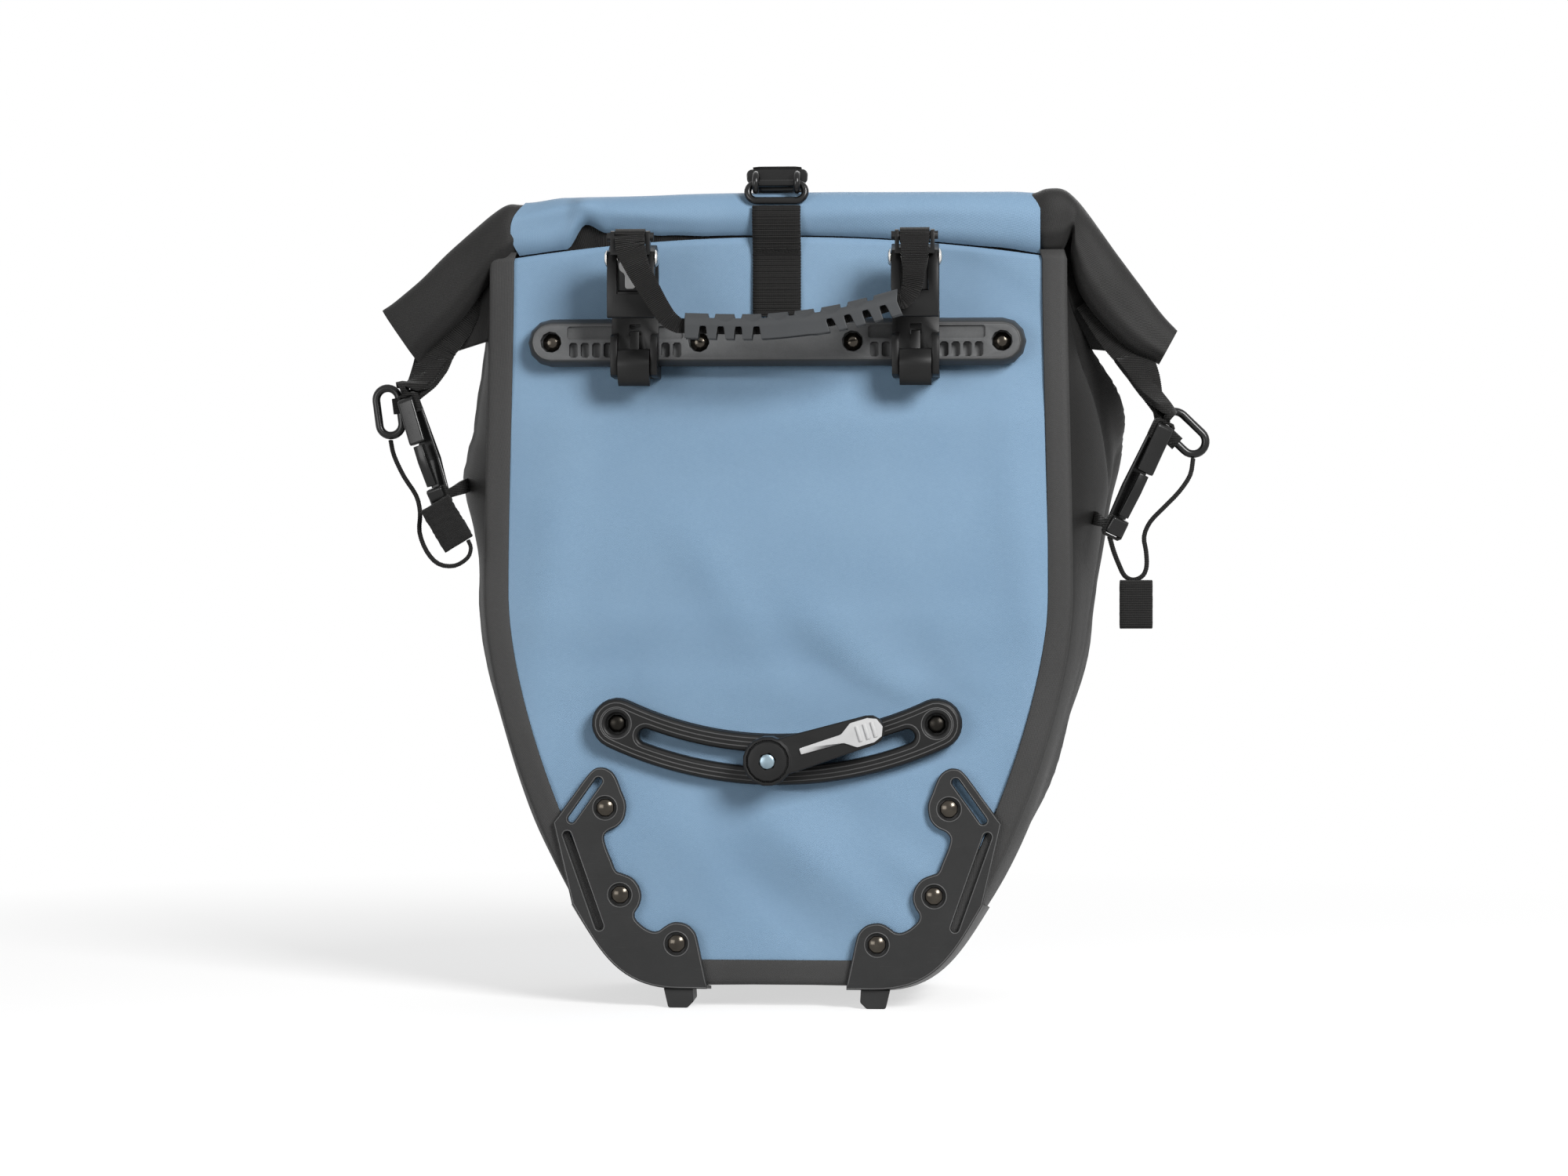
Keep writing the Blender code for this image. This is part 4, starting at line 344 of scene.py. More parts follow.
def routeLength(points):
    return sum((b - a).length for a, b in zip(points, points[1:]))


def tangents(points, closed=False):
    count = len(points)
    found = []
    for i in range(count):
        before = points[i - 1] if closed or i else points[i]
        after = points[(i + 1) % count] if closed or i < count - 1 else points[i]
        found.append((after - before).normalized())
    return found


def turnsOf(count):  # even angles, once round
    return [2 * math.pi * k / count for k in range(count)]


def between(x, knots):  # a value that eases from each (x, value) knot to the next
    if x <= knots[0][0]:
        return knots[0][1]
    for (a, low), (b, high) in zip(knots, knots[1:]):
        if x <= b:
            t = (x - a) / (b - a)
            return low + (high - low) * t * t * (3 - 2 * t)
    return knots[-1][1]


def ripple(point, height, scale, seed):  # smooth noise that rises and falls by height
    return height * noise.noise(Vector(point) / scale + Vector((seed, seed * 1.7, seed * 0.3)))


def mirrored(point, sign):
    return Vector((sign * point[0], point[1], point[2]))


def addPiece(name, mesh, finish, body, node=None, smooth=35):  # node is the solid that it stands for
    made = newObject(name, mesh)
    mesh.materials.clear()
    mesh.materials.append(finishes[finish])
    mesh.shade_smooth()
    mesh.set_sharp_from_angle(angle=math.radians(smooth))
    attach(made, body)
    if node:
        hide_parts(node)
    return made


def meshOf(shape):
    mesh = bpy.data.meshes.new("shape")
    shape.to_mesh(mesh)
    shape.free()
    return mesh


def reshaped(mesh, *steps):  # the same mesh, after some work on its points and faces
    shape = bmesh.new()
    shape.from_mesh(mesh)
    for step in steps:
        step(shape)
    shape.to_mesh(mesh)
    shape.free()
    return mesh


def mergeDoubles(shape, reach=1e-7):
    bmesh.ops.remove_doubles(shape, verts=shape.verts, dist=reach)


def turnOut(shape):
    bmesh.ops.recalc_face_normals(shape, faces=shape.faces)
    if shape.calc_volume(signed=True) < 0:
        bmesh.ops.reverse_faces(shape, faces=shape.faces)


def outward(mesh):  # a closed shape with its faces turned outwards
    return reshaped(mesh, turnOut)


def layCloth(shape, faces=None):  # a UV map in metres, straight onto the bag's face
    cloth = shape.loops.layers.uv.get("cloth") or shape.loops.layers.uv.new("cloth")
    for face in faces or shape.faces:
        for loop in face.loops:
            loop[cloth].uv = (loop.vert.co.x, loop.vert.co.z)


def gridMesh(rows, closedAcross=False, caps=False):  # a skin through rows of points, its UV map in metres
    size = len(rows[0])
    spans = size if closedAcross else size - 1
    lengths = [0.0]
    for row, before in zip(rows[1:], rows):
        lengths.append(lengths[-1] + sum((a - b).length for a, b in zip(row, before)) / size * mm)
    widths = []
    for row in rows:
        run = [0.0]
        for k in range(spans):
            run.append(run[-1] + (row[(k + 1) % size] - row[k]).length * mm)
        widths.append([value - run[-1] / 2 for value in run])
    shape = bmesh.new()
    corners = [shape.verts.new(at(point)) for row in rows for point in row]
    cloth = shape.loops.layers.uv.new("cloth")
    for i in range(len(rows) - 1):
        for k in range(spans):
            n = (k + 1) % size
            ring = [(i, k, k), (i, n, k + 1), (i + 1, n, k + 1), (i + 1, k, k)]
            face = shape.faces.new([corners[r * size + c] for r, c, _ in ring])
            for loop, (r, _, w) in zip(face.loops, ring):
                loop[cloth].uv = (widths[r][w], lengths[r])
    if caps:
        layCloth(shape, [shape.faces.new(ring) for ring in (corners[:size][::-1], corners[-size:])])
    return meshOf(shape)


def solidMesh(rows):  # a closed shape through rings of points
    return outward(gridMesh(rows, closedAcross=True, caps=True))


def joinMeshes(meshes):
    shape = bmesh.new()
    for mesh in meshes:
        shape.from_mesh(mesh)
    return meshOf(shape)


def addSheet(name, rows, middle, thickness, finish, body, node=None, smooth=60):
    # an open sheet that faces away from a middle, with its thickness behind its face
    mesh, middle = gridMesh(rows), at(middle)
    if sum(face.normal.dot(face.center - middle) * face.area for face in mesh.polygons) < 0:
        mesh.flip_normals()
    piece = addPiece(name, mesh, finish, body, node, smooth)
    solid = piece.modifiers.new("thickness", "SOLIDIFY")
    solid.thickness = thickness * mm
    solid.offset = -1
    solid.use_even_offset = True
    solid.thickness_clamp = 0.5
    return piece


def bandMesh(points, widths, across, user, edge=9):
    # flat webbing; across holds the direction of its width at each point, and user its
    # thickness, the pitch of its ribs and their depth
    points, (widths, across) = evenRoute(points, user["rib"] / 4, (widths, across))
    crest = user["crest"]
    rows = []
    for i, (point, along, width, side) in enumerate(zip(points, tangents(points), widths, across)):
        side = (side - along * side.dot(along)).normalized()
        up = along.cross(side).normalized()
        deep = user["thickness"] / 2 - crest * (1 - math.cos(math.pi / 2 * i)) / 2
        half = width / 2 - (crest / 2 if i % 4 == 2 else 0)
        row = []
        for turn in (1, -1):
            for k in range(edge):
                s = (-1 + 2 * k / (edge - 1)) * turn
                row.append(point + side * (half * s) + up * (deep * (1 - 0.5 * abs(s) ** 8) * turn))
        rows.append(row)
    return solidMesh(rows)


def tubeMesh(points, radius, around, squash=1.0, closed=False, braid=0.0, twist=1.3):
    # a round or flattened bar along points; braid is the height of its strands, twist their turn
    along = tangents(points, closed)
    side = along[0].orthogonal().normalized()
    rows = []
    for i, (point, direction) in enumerate(zip(points, along)):
        side = (side - direction * side.dot(direction)).normalized()
        other = direction.cross(side)
        row = []
        for a in turnsOf(around):
            size = radius + braid * math.cos(3 * a + twist * i) * math.cos(3 * a - twist * i)
            row.append(point + (side * math.cos(a) + other * math.sin(a) * squash) * size)
        rows.append(row)
    if closed:
        return reshaped(gridMesh([*rows, rows[0]], closedAcross=True), mergeDoubles, turnOut)
    return solidMesh(rows)


# knotted cords that keep each clip to its tab, from the clip's ring down; points in the bag's own frame
cordUser = {
    "diameter": 3.0, "core": 1.32, "braid": 0.17, "flat": 0.8, "around": 18, "step": 0.5, "perKnot": 3,
    "left": ((-202.7, 8, 293.8), (-200.3, 4, 286), (-194.6, 1, 275), (-188, 0, 265), (-185.6, -2, 256),
             (-185.6, -4, 246), (-181.5, -6, 236), (-175, -8, 229.5), (-166.5, -9.2, 228.5),
             (-159.7, -9.7, 232.5), (-157.9, -9.7, 237.6), (-159.4, -9.7, 241.8)),
    "right": ((214.25, 8, 283.5), (212.5, 4, 275), (206.8, 1.5, 266.5), (199.2, 1, 258.6), (192, 2, 251),
              (188.9, 3, 243.4), (189.9, 3, 236), (190.2, 3, 228.4), (188.3, 3, 223.4), (183.5, 3, 221.2),
              (178.9, 2.7, 223.3), (175.8, 1.3, 229.4), (173.1, -1, 236.2), (171, -3.3, 243.4)),
}


def makeCord(side, user):
    route = smoothRoute(user[side], user["perKnot"])
    fine, _ = evenRoute(route, user["step"])
    mesh = tubeMesh(fine, user["core"], user["around"], user["flat"], braid=user["braid"])
    made = addPiece(f"keeperCord_{side}", mesh, "webbing", "bag", f"keeper_cord_{side}", 80)
    path = [at(point) for point in route]
    routeLength(route) * mm


for side, _ in bothSides:
    makeCord(side, cordUser)
print("cords made")


shellUser = {
    "panelHalf": 152, "panelTop": 386, "topRise": 12.3, "topHalf": 149, "bottomHalf": 50, "bottomZ": 12.5,
    "flank": (104, 55), "flankEnd": 215, "binding": 12.5, "cloth": 1.2, "gap": 0.3,
    "baseDepth": 112, "waistDepth": 162, "neckDepth": 14.5, "frontCrown": 7, "crownFade": 90, "round": 0.8,
    "frontLift": 3, "frontRise": 11, "swell": (0.5, 1, 8, 13, 2), "steps": (6, 18, 26, 44),
    "crest": (15, 1.15, 1.5),  # how far the sides swell below the mouth, how early and how sharply
    # how the front edge differs from the back one at the flank, and how much narrower it is above
    "frontFlank": (3, 20, 5), "frontIn": (5, 12),
    # the curves' handles, from the heel up, and the slope of the edge at the flank
    "slope": (0.5, 0, 0.866), "backReach": (30, 30, 45, 50, 55, 50),
    "frontReach": ((28, 0, 0), (-13, -8, -27), (22, 12, 40), (0, -2, -55), (0, 4, 80), (2, 84, -30)),
    # how full each side hangs: (z, share of the plain bulge)
    "fullness": {
        "left": ((60, 1), (150, 1), (228, 0.92), (244, 1.01), (258, 1.07), (270, 1.05), (282, 0.88),
                 (296, 0.7), (327, 0.64), (360, 0.8)),
        "right": ((60, 1), (150, 1), (199, 1.14), (228, 1.32), (256, 1.24), (285, 1.14), (311, 1.13),
                  (335, 1.02), (355, 1)),
    },
}


def bezier(knots, t):
    a, b, c, d = knots
    s = 1 - t
    return a * s ** 3 + b * 3 * s * s * t + c * 3 * s * t * t + d * t ** 3


def spansThrough(stops, handles):  # a straight span, then curves with two handles each
    stops = [Vector(stop) for stop in stops]
    middle, heel = stops[:2]
    spans = [(middle, middle.lerp(heel, 1 / 3), middle.lerp(heel, 2 / 3), heel)]
    for i, (a, b) in enumerate(zip(stops[1:], stops[2:])):
        spans.append((a, a + handles[2 * i], b + handles[2 * i + 1], b))
    return spans


def edgeSpans(user):  # the back edge and the front edge, from the bottom's middle to the top
    (fx, fz), (inX, outY, downZ), (waistIn, topIn) = user["flank"], user["frontFlank"], user["frontIn"]
    half, heel, base = user["panelHalf"], user["bottomHalf"], user["baseDepth"]
    low, waist, high = user["bottomZ"], user["flankEnd"], user["panelTop"]
    back = ((0, 0, low), (heel, 0, low), (fx, 0, fz), (half, 0, waist), (user["topHalf"], 0, high))
    front = ((0, base, 0), (heel, base, 0), (fx - inX, base + outY, fz - downZ),
             (half - waistIn, user["waistDepth"], waist),
             (half - topIn, user["neckDepth"], high + user["frontLift"]))
    ahead, slope, up = Vector((1, 0, 0)), Vector(user["slope"]), Vector((0, 0, 1))
    ways = (ahead, -slope, slope, -up, up, -up)
    return (spansThrough(back, [way * reach for way, reach in zip(ways, user["backReach"])]),
            spansThrough(front, [Vector(reach) for reach in user["frontReach"]]))


backSpans, frontSpans = edgeSpans(shellUser)
topSpan = len(backSpans) - 1


def station(span, t, nudge=0.01):  # back point, front point, outward normal and swell along a span
    user = shellUser
    before = bezier(backSpans[span], max(t - nudge, 0))
    after = bezier(backSpans[span], min(t + nudge, 1))
    along = (after - before).normalized()
    swell = user["swell"][span] * (1 - t) + user["swell"][span + 1] * t
    if span == topSpan:
        crest, early, sharp = user["crest"]
        swell += crest * math.sin(math.pi * min(t * early, 1)) ** sharp
    return bezier(backSpans[span], t), bezier(frontSpans[span], t), Vector((along.z, 0, -along.x)), swell


def edgeStations():
    steps = enumerate(shellUser["steps"])
    return [station(span, k / count) for span, count in steps for k in range(count)] + [station(topSpan, 1)]


def topEdge(x):
    return shellUser["panelTop"] + shellUser["topRise"] * (1 - (x / shellUser["topHalf"]) ** 2)


panelUser = {
    "columns": 96, "rows": 130, "inset": 1.8, "proud": 0.1, "foldGain": 2.7, "puff": 0.9,
    "deepest": -0.7, "give": 0.2,  # the level that a dent reaches, and how much it gives beyond
    "margin": 14, "topMargin": 8,  # the reach of the flat border at the binding and under the roll
    "ripples": ((0.6, 60, 3), (0.2, 22, 8)),  # height, scale and seed
    # the board bows out between the fittings: (z, height)
    "bow": ((14, 0), (40, 0.4), (90, 2.6), (118, 0.8), (150, -1.0), (172, 0.2), (205, 3.2),
            (250, 5.2), (300, 3.2), (326, 0.2), (350, -0.6), (392, 0.2), (400, 0)),
    # soft folds: the place of the middle (x, z), angle, length, width and height
    "folds": (((-22, 212), -50, 46, 14, 1.3), ((8, 186), -44, 60, 15, -1.2), ((38, 178), -42, 52, 15, 1.0),
              ((60, 150), -40, 40, 12, -0.8), ((20, 76), -40, 52, 13, 1.3), ((-8, 62), -42, 46, 12, -1.1),
              ((-34, 84), -38, 46, 15, 0.9), ((46, 96), -34, 40, 13, -0.9), ((70, 72), -44, 34, 10, 0.7),
              ((-120, 210), 82, 80, 14, 0.9), ((128, 230), -84, 80, 13, 0.9), ((0, 300), 0, 130, 20, 0.9),
              ((-100, 140), 62, 60, 12, -0.9), ((105, 130), -58, 60, 12, -0.9),
              ((-60, 260), 20, 60, 20, -0.5), ((-104, 372), 24, 30, 8, -0.6), ((100, 374), -20, 36, 8, -0.6)),
    # presses under a fitting: place (x, z), reach and depth
    "presses": (((-116, 343), 16, 1.0), ((116, 343), 16, 1.0), ((-39, 343), 16, 0.6), ((39, 343), 16, 0.6),
                ((-82, 147), 13, 1.0), ((82, 147), 13, 1.0), ((-89, 103), 13, 1.0), ((-81, 58), 13, 1.0),
                ((-52, 33), 12, 0.8), ((89, 103), 13, 1.0), ((81, 58), 13, 1.0), ((52, 33), 12, 0.8)),
}


def foldShape(dx, dz, angle, length, width, sharp=2):  # 1 at a fold's middle, fading along and across it
    a = math.radians(angle)
    along = dx * math.cos(a) + dz * math.sin(a)
    across = -dx * math.sin(a) + dz * math.cos(a)
    return math.exp(-(along / length) ** 2 - abs(across / width) ** sharp)


def foldHeight(x, z, folds):
    return sum(height * foldShape(x - fx, z - fz, *shape) for (fx, fz), *shape, height in folds)


def pressDepth(x, z, presses):
    return sum(depth * math.exp(-((x - px) ** 2 + (z - pz) ** 2) / reach ** 2)
               for (px, pz), reach, depth in presses)


def halfWidthAt(outline, z):
    for a, b in zip(outline, outline[1:]):
        if a.z <= z <= b.z and b.z > a.z:
            return a.x + (b.x - a.x) * (z - a.z) / (b.z - a.z)
    return outline[-1].x if z > outline[-1].z else shellUser["bottomHalf"]


def makePanel(user):  # the back: a soft sheet inside the bindings, arched along its top
    outline = [back - normal * user["inset"] for back, _, normal, _ in edgeStations()]
    outline = [point for point in outline if point.x > 1]
    low, high = shellUser["bottomZ"] + user["inset"], shellUser["panelTop"]
    rows = []
    for i in range(user["rows"] + 1):
        share = i / user["rows"]
        z = low + (high - low) * share
        half = halfWidthAt(outline, z)
        row = []
        for k in range(user["columns"] + 1):
            x = half * (-1 + 2 * k / user["columns"])
            lift = (topEdge(x) - high) * share ** 8
            inside = ((half - abs(x)) / user["margin"], (z + lift - low) / user["margin"],
                      (topEdge(x) - z - lift) / user["topMargin"])
            edge = math.prod(min(1, reach) for reach in inside)
            soft = user["foldGain"] * foldHeight(x, z, user["folds"])
            for wave in user["ripples"]:
                soft += ripple((x, 0, z), *wave)
            soft += between(z, user["bow"]) * (1 - (x / half) ** 4) - pressDepth(x, z, user["presses"])
            height = soft * max(edge, 0) * user["puff"]
            height = max(height, user["deepest"] + user["give"] * height)
            row.append(Vector((x, -user["proud"] - height, z + lift)))
        rows.append(row)
    addSheet("panelCloth", rows, (0, 50, 200), shellUser["cloth"], "blue", "bag", "back_panel")


makePanel(panelUser)


def wallPoint(back, front, normal, swell, share):
    point = back.lerp(front, share) + normal * (swell * math.sin(math.pi * share) ** shellUser["round"])
    point.z = max(point.z, 0)
    return point


def crown(share, z):
    fade = min((shellUser["panelTop"] + shellUser["frontLift"] - z) / shellUser["crownFade"], 1)
    return shellUser["frontCrown"] * (1 - share ** 2) * min(z / shellUser["flankEnd"], 1) * fade


def frontPoint(edge, share):  # a point on the front panel's outside, from its centre line (0) to its edge (1)
    rise = shellUser["frontRise"] * (1 - share ** 2) * (edge.z / shellUser["panelTop"]) ** 6
    depth = edge.y + shellUser["cloth"] + shellUser["gap"] + crown(share, edge.z)
    return Vector((edge.x * share, depth, edge.z + rise))


frontUser = {
    "columns": 60, "seam": 24, "top": 398, "topFade": 40, "ripple": (0.8, 50, 21),
    # soft folds: the place of the middle (x, z), angle, length, width and height
    "folds": (((0, 120), 12, 90, 16, 1.2), ((-60, 210), 64, 70, 14, -1.2), ((64, 200), -60, 70, 14, -1.2),
              ((0, 290), 2, 120, 18, 1.6), ((-30, 330), 10, 70, 10, -1.2), ((40, 336), -12, 70, 10, -1.0),
              ((-70, 90), -40, 50, 12, 1.0), ((70, 96), 42, 50, 12, 1.0)),
}


def frontRows(user, columns, soft=True):
    rows = []
    for span in range(1, topSpan + 1):
        count = shellUser["steps"][span]
        for k in range(count + (span == topSpan)):
            _, front, normal, _ = station(span, k / count)
            edge = front - normal * (shellUser["cloth"] + 2 * shellUser["gap"])
            row = [frontPoint(edge, 1 - 2 * c / columns) for c in range(columns + 1)]
            for c, point in enumerate(row) if soft else ():
                hold = (1 - abs(1 - 2 * c / columns) ** 4) * min(1, abs(point.x) / user["seam"])
                hold *= min(1, (user["top"] - point.z) / user["topFade"])
                fold = foldHeight(point.x, point.z, user["folds"]) + ripple(point, *user["ripple"])
                point.y += fold * max(hold, 0)
            rows.append(row)
    return rows


gussetUser = {
    "wallSteps": 40, "wallEnds": 0.03, "tapeSpans": 6, "frontSpans": 3,
    "topHem": (0.99, 5),  # how the hem at the mouth narrows, and how far it rises
    # the welded tape round the back edge: (share of its height, distance in from the edge)
    "tape": ((1.28, 7.75), (1.34, 3.75), (1.3, 1.7), (0.95, 0.2), (0.4, -0.4)), "hem": (0.25, 0.6),
    # the tape's turn onto the front panel: out from the corner, its share inwards and up, then two heights
    "frontTape": (0.1, 0.15, 0.4, 0.3, -0.2),
    "ripple": (1.8, 46, 5), "rippleFrom": 120, "lowest": 1.4, "low": 60, "high": 400, "highFade": 50,
    "creaseSpan": 150, "sharp": 1.4,
    # creases in each side's wall: (z, share of the depth), angle, length, width and depth
    "left": (((330, 0.25), -78, 44, 6, 3.0), ((300, 0.45), -64, 46, 9, -3.0), ((200, 0.4), 80, 60, 10, 3.0),
             ((250, 0.7), 70, 50, 9, -3.0), ((120, 0.5), 60, 50, 9, 2.0)),
    "right": (((352, 0.18), -66, 34, 5, -5.0), ((330, 0.36), -56, 44, 8, 5.5), ((300, 0.3), -70, 44, 6, -4.0),
              ((296, 0.56), -50, 48, 10, 7.0), ((240, 0.42), 74, 60, 9, -4.0), ((200, 0.6), 85, 60, 12, 3.0),
              ((120, 0.5), -62, 50, 9, 2.0)),
}


def creaseDepth(point, share, creases, user):
    return sum(depth * foldShape((share - cs) * user["creaseSpan"], point.z - cz, *shape, user["sharp"])
               for (cz, cs), *shape, depth in creases)


def makeGusset(user):  # the black side wall, from its welded binding on the back to its binding on the front
    cloth, gap, binding = shellUser["cloth"], shellUser["gap"], shellUser["binding"]
    hemUp, hemOut = user["hem"]
    tapeOut, tapeTurn, tapeUp, *tapeEnds = user["frontTape"]
    sides = {}
    for side, sign in bothSides:
        full = shellUser["fullness"][side]
        rows = []
        for back, front, normal, swell in edgeStations():
            face = Vector((0, -(gap + cloth), 0))
            hem = back + face - normal * binding
            row = [hem, hem + Vector((0, -hemUp, 0)) + normal * hemOut]
            row += [back + face * share - normal * inset for share, inset in user["tape"]]
            for k in range(user["wallSteps"] + 1):
                share = user["wallEnds"] + (1 - 2 * user["wallEnds"]) * k / user["wallSteps"]
                point = wallPoint(back, front, normal, swell * between(back.z, full), share)
                crease = creaseDepth(point, share, user[side], user)
                crease += ripple(point, *user["ripple"]) * min(1, front.y / user["rippleFrom"])
                hold = math.sin(math.pi * share) * min(1, point.z / user["low"])
                hold *= max(0, min(1, (user["high"] - point.z) / user["highFade"]))
                point += normal * crease * hold
                point.z = max(point.z, user["lowest"])
                row.append(point)
            frontFace = crown(1, front.z) + cloth * 2 + gap * 2
            corner = front + Vector((0, frontFace, 0))
            inner = front - normal * binding
            turn = corner.lerp(inner + Vector((0, frontFace, 0)), tapeTurn)
            row += [corner + normal * tapeOut, turn + Vector((0, tapeUp, 0)),
                    *[inner + Vector((0, frontFace + rise, 0)) for rise in tapeEnds]]
            rows.append([mirrored(point, sign) for point in row])
        narrow, rise = user["topHem"]
        rows.append([Vector((p.x * narrow, p.y, p.z + rise)) for p in rows[-1]])
        sides[side] = rows
    rows = sides["left"][:0:-1] + sides["right"]
    # the wall takes the darker side finish, painted shade of the black cloth
    piece = addSheet("sideCloth", rows, (0, 70, 180), cloth, "side", "bag", "side_gusset", 40)
    # the tape: its own greyer tone, lightened further as a painted sheen
    piece.data.materials.append(finishes["binding"])
    spans = len(rows[0]) - 1
    for face in piece.data.polygons:
        place = face.index % spans
        face.material_index = int(place < user["tapeSpans"] or place >= spans - user["frontSpans"])


makeGusset(gussetUser)
addSheet("frontCloth", frontRows(frontUser, frontUser["columns"]), (0, 0, 200), shellUser["cloth"],
         "blue", "bag", "front_panel")
print("shell made")


rollUser = {
    "centreY": 7, "halfDepth": 12.5, "turns": 2.4, "pitch": 3.2, "perTurn": 44, "stations": 150,
    "startX": -131.5, "endX": 135.6, "bulge": 6.6, "bulgeFrom": 100, "bulgeSpan": 32, "bulgeAt": -0.1,
    "ripple": (0.7, 34, 9), "unroll": 8, "rippleUp": 0.3,
    # the two webbings sewn along the mouth: (y, height over the panel's edge)
    "mouths": ((3.6, 1), (11.5, 8)), "mouthWidth": 24, "mouth": {"thickness": 1.4, "rib": 0.9, "crest": 0.3},
    "mouthSteps": (-138, 141, 3),
    "notch": (6, -92, 22),  # how far they rise at the notch, its place and its reach
    "top": ((-150, 418.6), (-131, 419.0), (-110, 421.4), (-10, 423.4), (120, 423.0), (137, 422.2)),
    # how far the roll stands off the panel's top edge, with the notch where its lip turns out
    "lift": ((-128, 0.2), (-108.6, 0.5), (-99.6, 12.2), (-88, 6.6), (-74, 4.4), (-58, 2.6), (-34, 1.0),
             (0, 0.4), (100, 0.4), (118, 1.0), (134, 0.6)),
    # creases on the side that faces the rack: (x, z), angle, length, width and height
    "folds": (((-112, 413), 14, 26, 3.0, 1.6), ((-117, 401), 30, 18, 5, -1.4),
              ((-104, 402), 62, 10, 3.4, 1.6), ((-78, 411), -8, 30, 5, 1.2), ((-58, 404), -3, 34, 3.6, -0.8),
              ((60, 412), 4, 60, 6, 0.7), ((96, 404), -4, 40, 5, -0.8), ((-126, 396), 20, 12, 4, 1.0),
              ((20, 404), 1, 60, 4, -0.5)),
}


def rollSection(x, user):
    cloth, gap = shellUser["cloth"], shellUser["gap"]
    drop = math.sqrt(1 - ((user["centreY"] - cloth) / user["halfDepth"]) ** 2)
    base = topEdge(x) + 1.5 * gap + between(x, user["lift"])
    halfHeight = (between(x, user["top"]) - base) / (1 + drop)
    centreZ = base + halfHeight * drop
    start = math.atan2(-drop, -(user["centreY"] - cloth) / user["halfDepth"])
    outer, inner = [], []
    for k in range(round(user["turns"] * user["perTurn"]) + 1):
        a = start - 2 * math.pi * k / user["perTurn"]
        shrink = user["pitch"] * k / user["perTurn"]
        for line, depth in ((outer, 0), (inner, 2 * cloth)):
            out = user["halfDepth"] - shrink - depth
            height = math.sin(a)
            up = (halfHeight - shrink - depth) * height
            point = Vector((x, user["centreY"] + out * math.cos(a), centreZ + up))
            if k < user["perTurn"]:
                soft = ripple((x, a * user["unroll"], 0), *user["ripple"])
                if math.cos(a) < 0:
                    soft += foldHeight(x, point.z, user["folds"]) * -math.cos(a)
                point += Vector((0, math.cos(a), math.sin(a) * user["rippleUp"])) * soft
            if x < 0:  # the left end of the coloured cloth is cut in a shallow point
                reach = max(0, (-x - user["bulgeFrom"]) / user["bulgeSpan"])
                point.x -= user["bulge"] * max(0, 1 - (height - user["bulgeAt"]) ** 2) * reach
            line.append(point)
    return outer + inner[::-1]


def makeRoll(user):
    first, last, count = user["startX"], user["endX"], user["stations"]
    rows = [rollSection(first + (last - first) * k / count, user) for k in range(count + 1)]
    addPiece("rollCloth", solidMesh(rows), "blue", "bag", "roll_top", 50)
    rise, place, reach = user["notch"]
    meshes = []
    for y, lift in user["mouths"]:
        strip = [Vector((x, y, topEdge(x) + lift + rise * math.exp(-((x - place) / reach) ** 2)))
                 for x in range(*user["mouthSteps"])]
        across = [Vector((0, 0.1, 1))] * len(strip)
        meshes.append(bandMesh(strip, [user["mouthWidth"]] * len(strip), across, user["mouth"]))
    addPiece("mouthWebbing", joinMeshes(meshes), "webbing", "bag")


makeRoll(rollUser)

# sections of each end of the roll, from the coloured cloth to the tip: the upper edge (x, z),
# the lower edge (x, z), the middle's y and half the depth
wingUser = {
    "left": (((122, 416.4), (122, 393), 7, 9.6), ((133, 416.4), (133, 391.5), 7, 10.2),
             ((140.5, 416.6), (140, 385.8), 7.4, 12.6), ((149, 412.0), (146, 382.5), 8.4, 12),
             ((158, 404.6), (152.5, 374.6), 9.8, 11), ((169.6, 394.9), (161, 363), 11.5, 10.5),
             ((185.1, 380.9), (172, 351.5), 13.4, 9.5), ((200.6, 367.3), (183.4, 340), 15.2, 8),
             ((208.1, 362.2), (187.6, 332.9), 16, 6.6)),
    "right": (((124, 420.4), (124, 394.0), 7, 9.6), ((132.5, 420.6), (132.5, 393.0), 7, 10.2),
              ((139, 422.6), (138.4, 389.6), 7, 12.7), ((147.5, 422.2), (146.6, 390.6), 7.4, 12.6),
              ((154.6, 417.0), (151.8, 398.6), 8.4, 12.4), ((160.6, 409.6), (151.4, 386.5), 9.8, 12),
              ((172.9, 392.3), (157, 368.5), 11.6, 11), ((186.5, 374), (169.8, 351.5), 13.4, 10),
              ((198.2, 359.2), (184.5, 339.5), 15.2, 8.4), ((206.7, 350.2), (197.2, 332.8), 16, 6.8)),
    "around": 64, "perSection": 12, "square": 0.86, "layers": (0.86, 0.72, 0.58),
    # the groove outside each layer at the tip: how much larger than the layer, and how deep
    "groove": ((0.07, 0.2), (0.06, 7), (0, 7), (0, 0.4)),
    "ripple": (1.3, 24, 12), "pleat": (0.9, -0.35, 0.2),  # the pleat's height, place and width
    "grow": (10, 20),  # how many rings it takes for the ripples and for the pleat to grow in
}


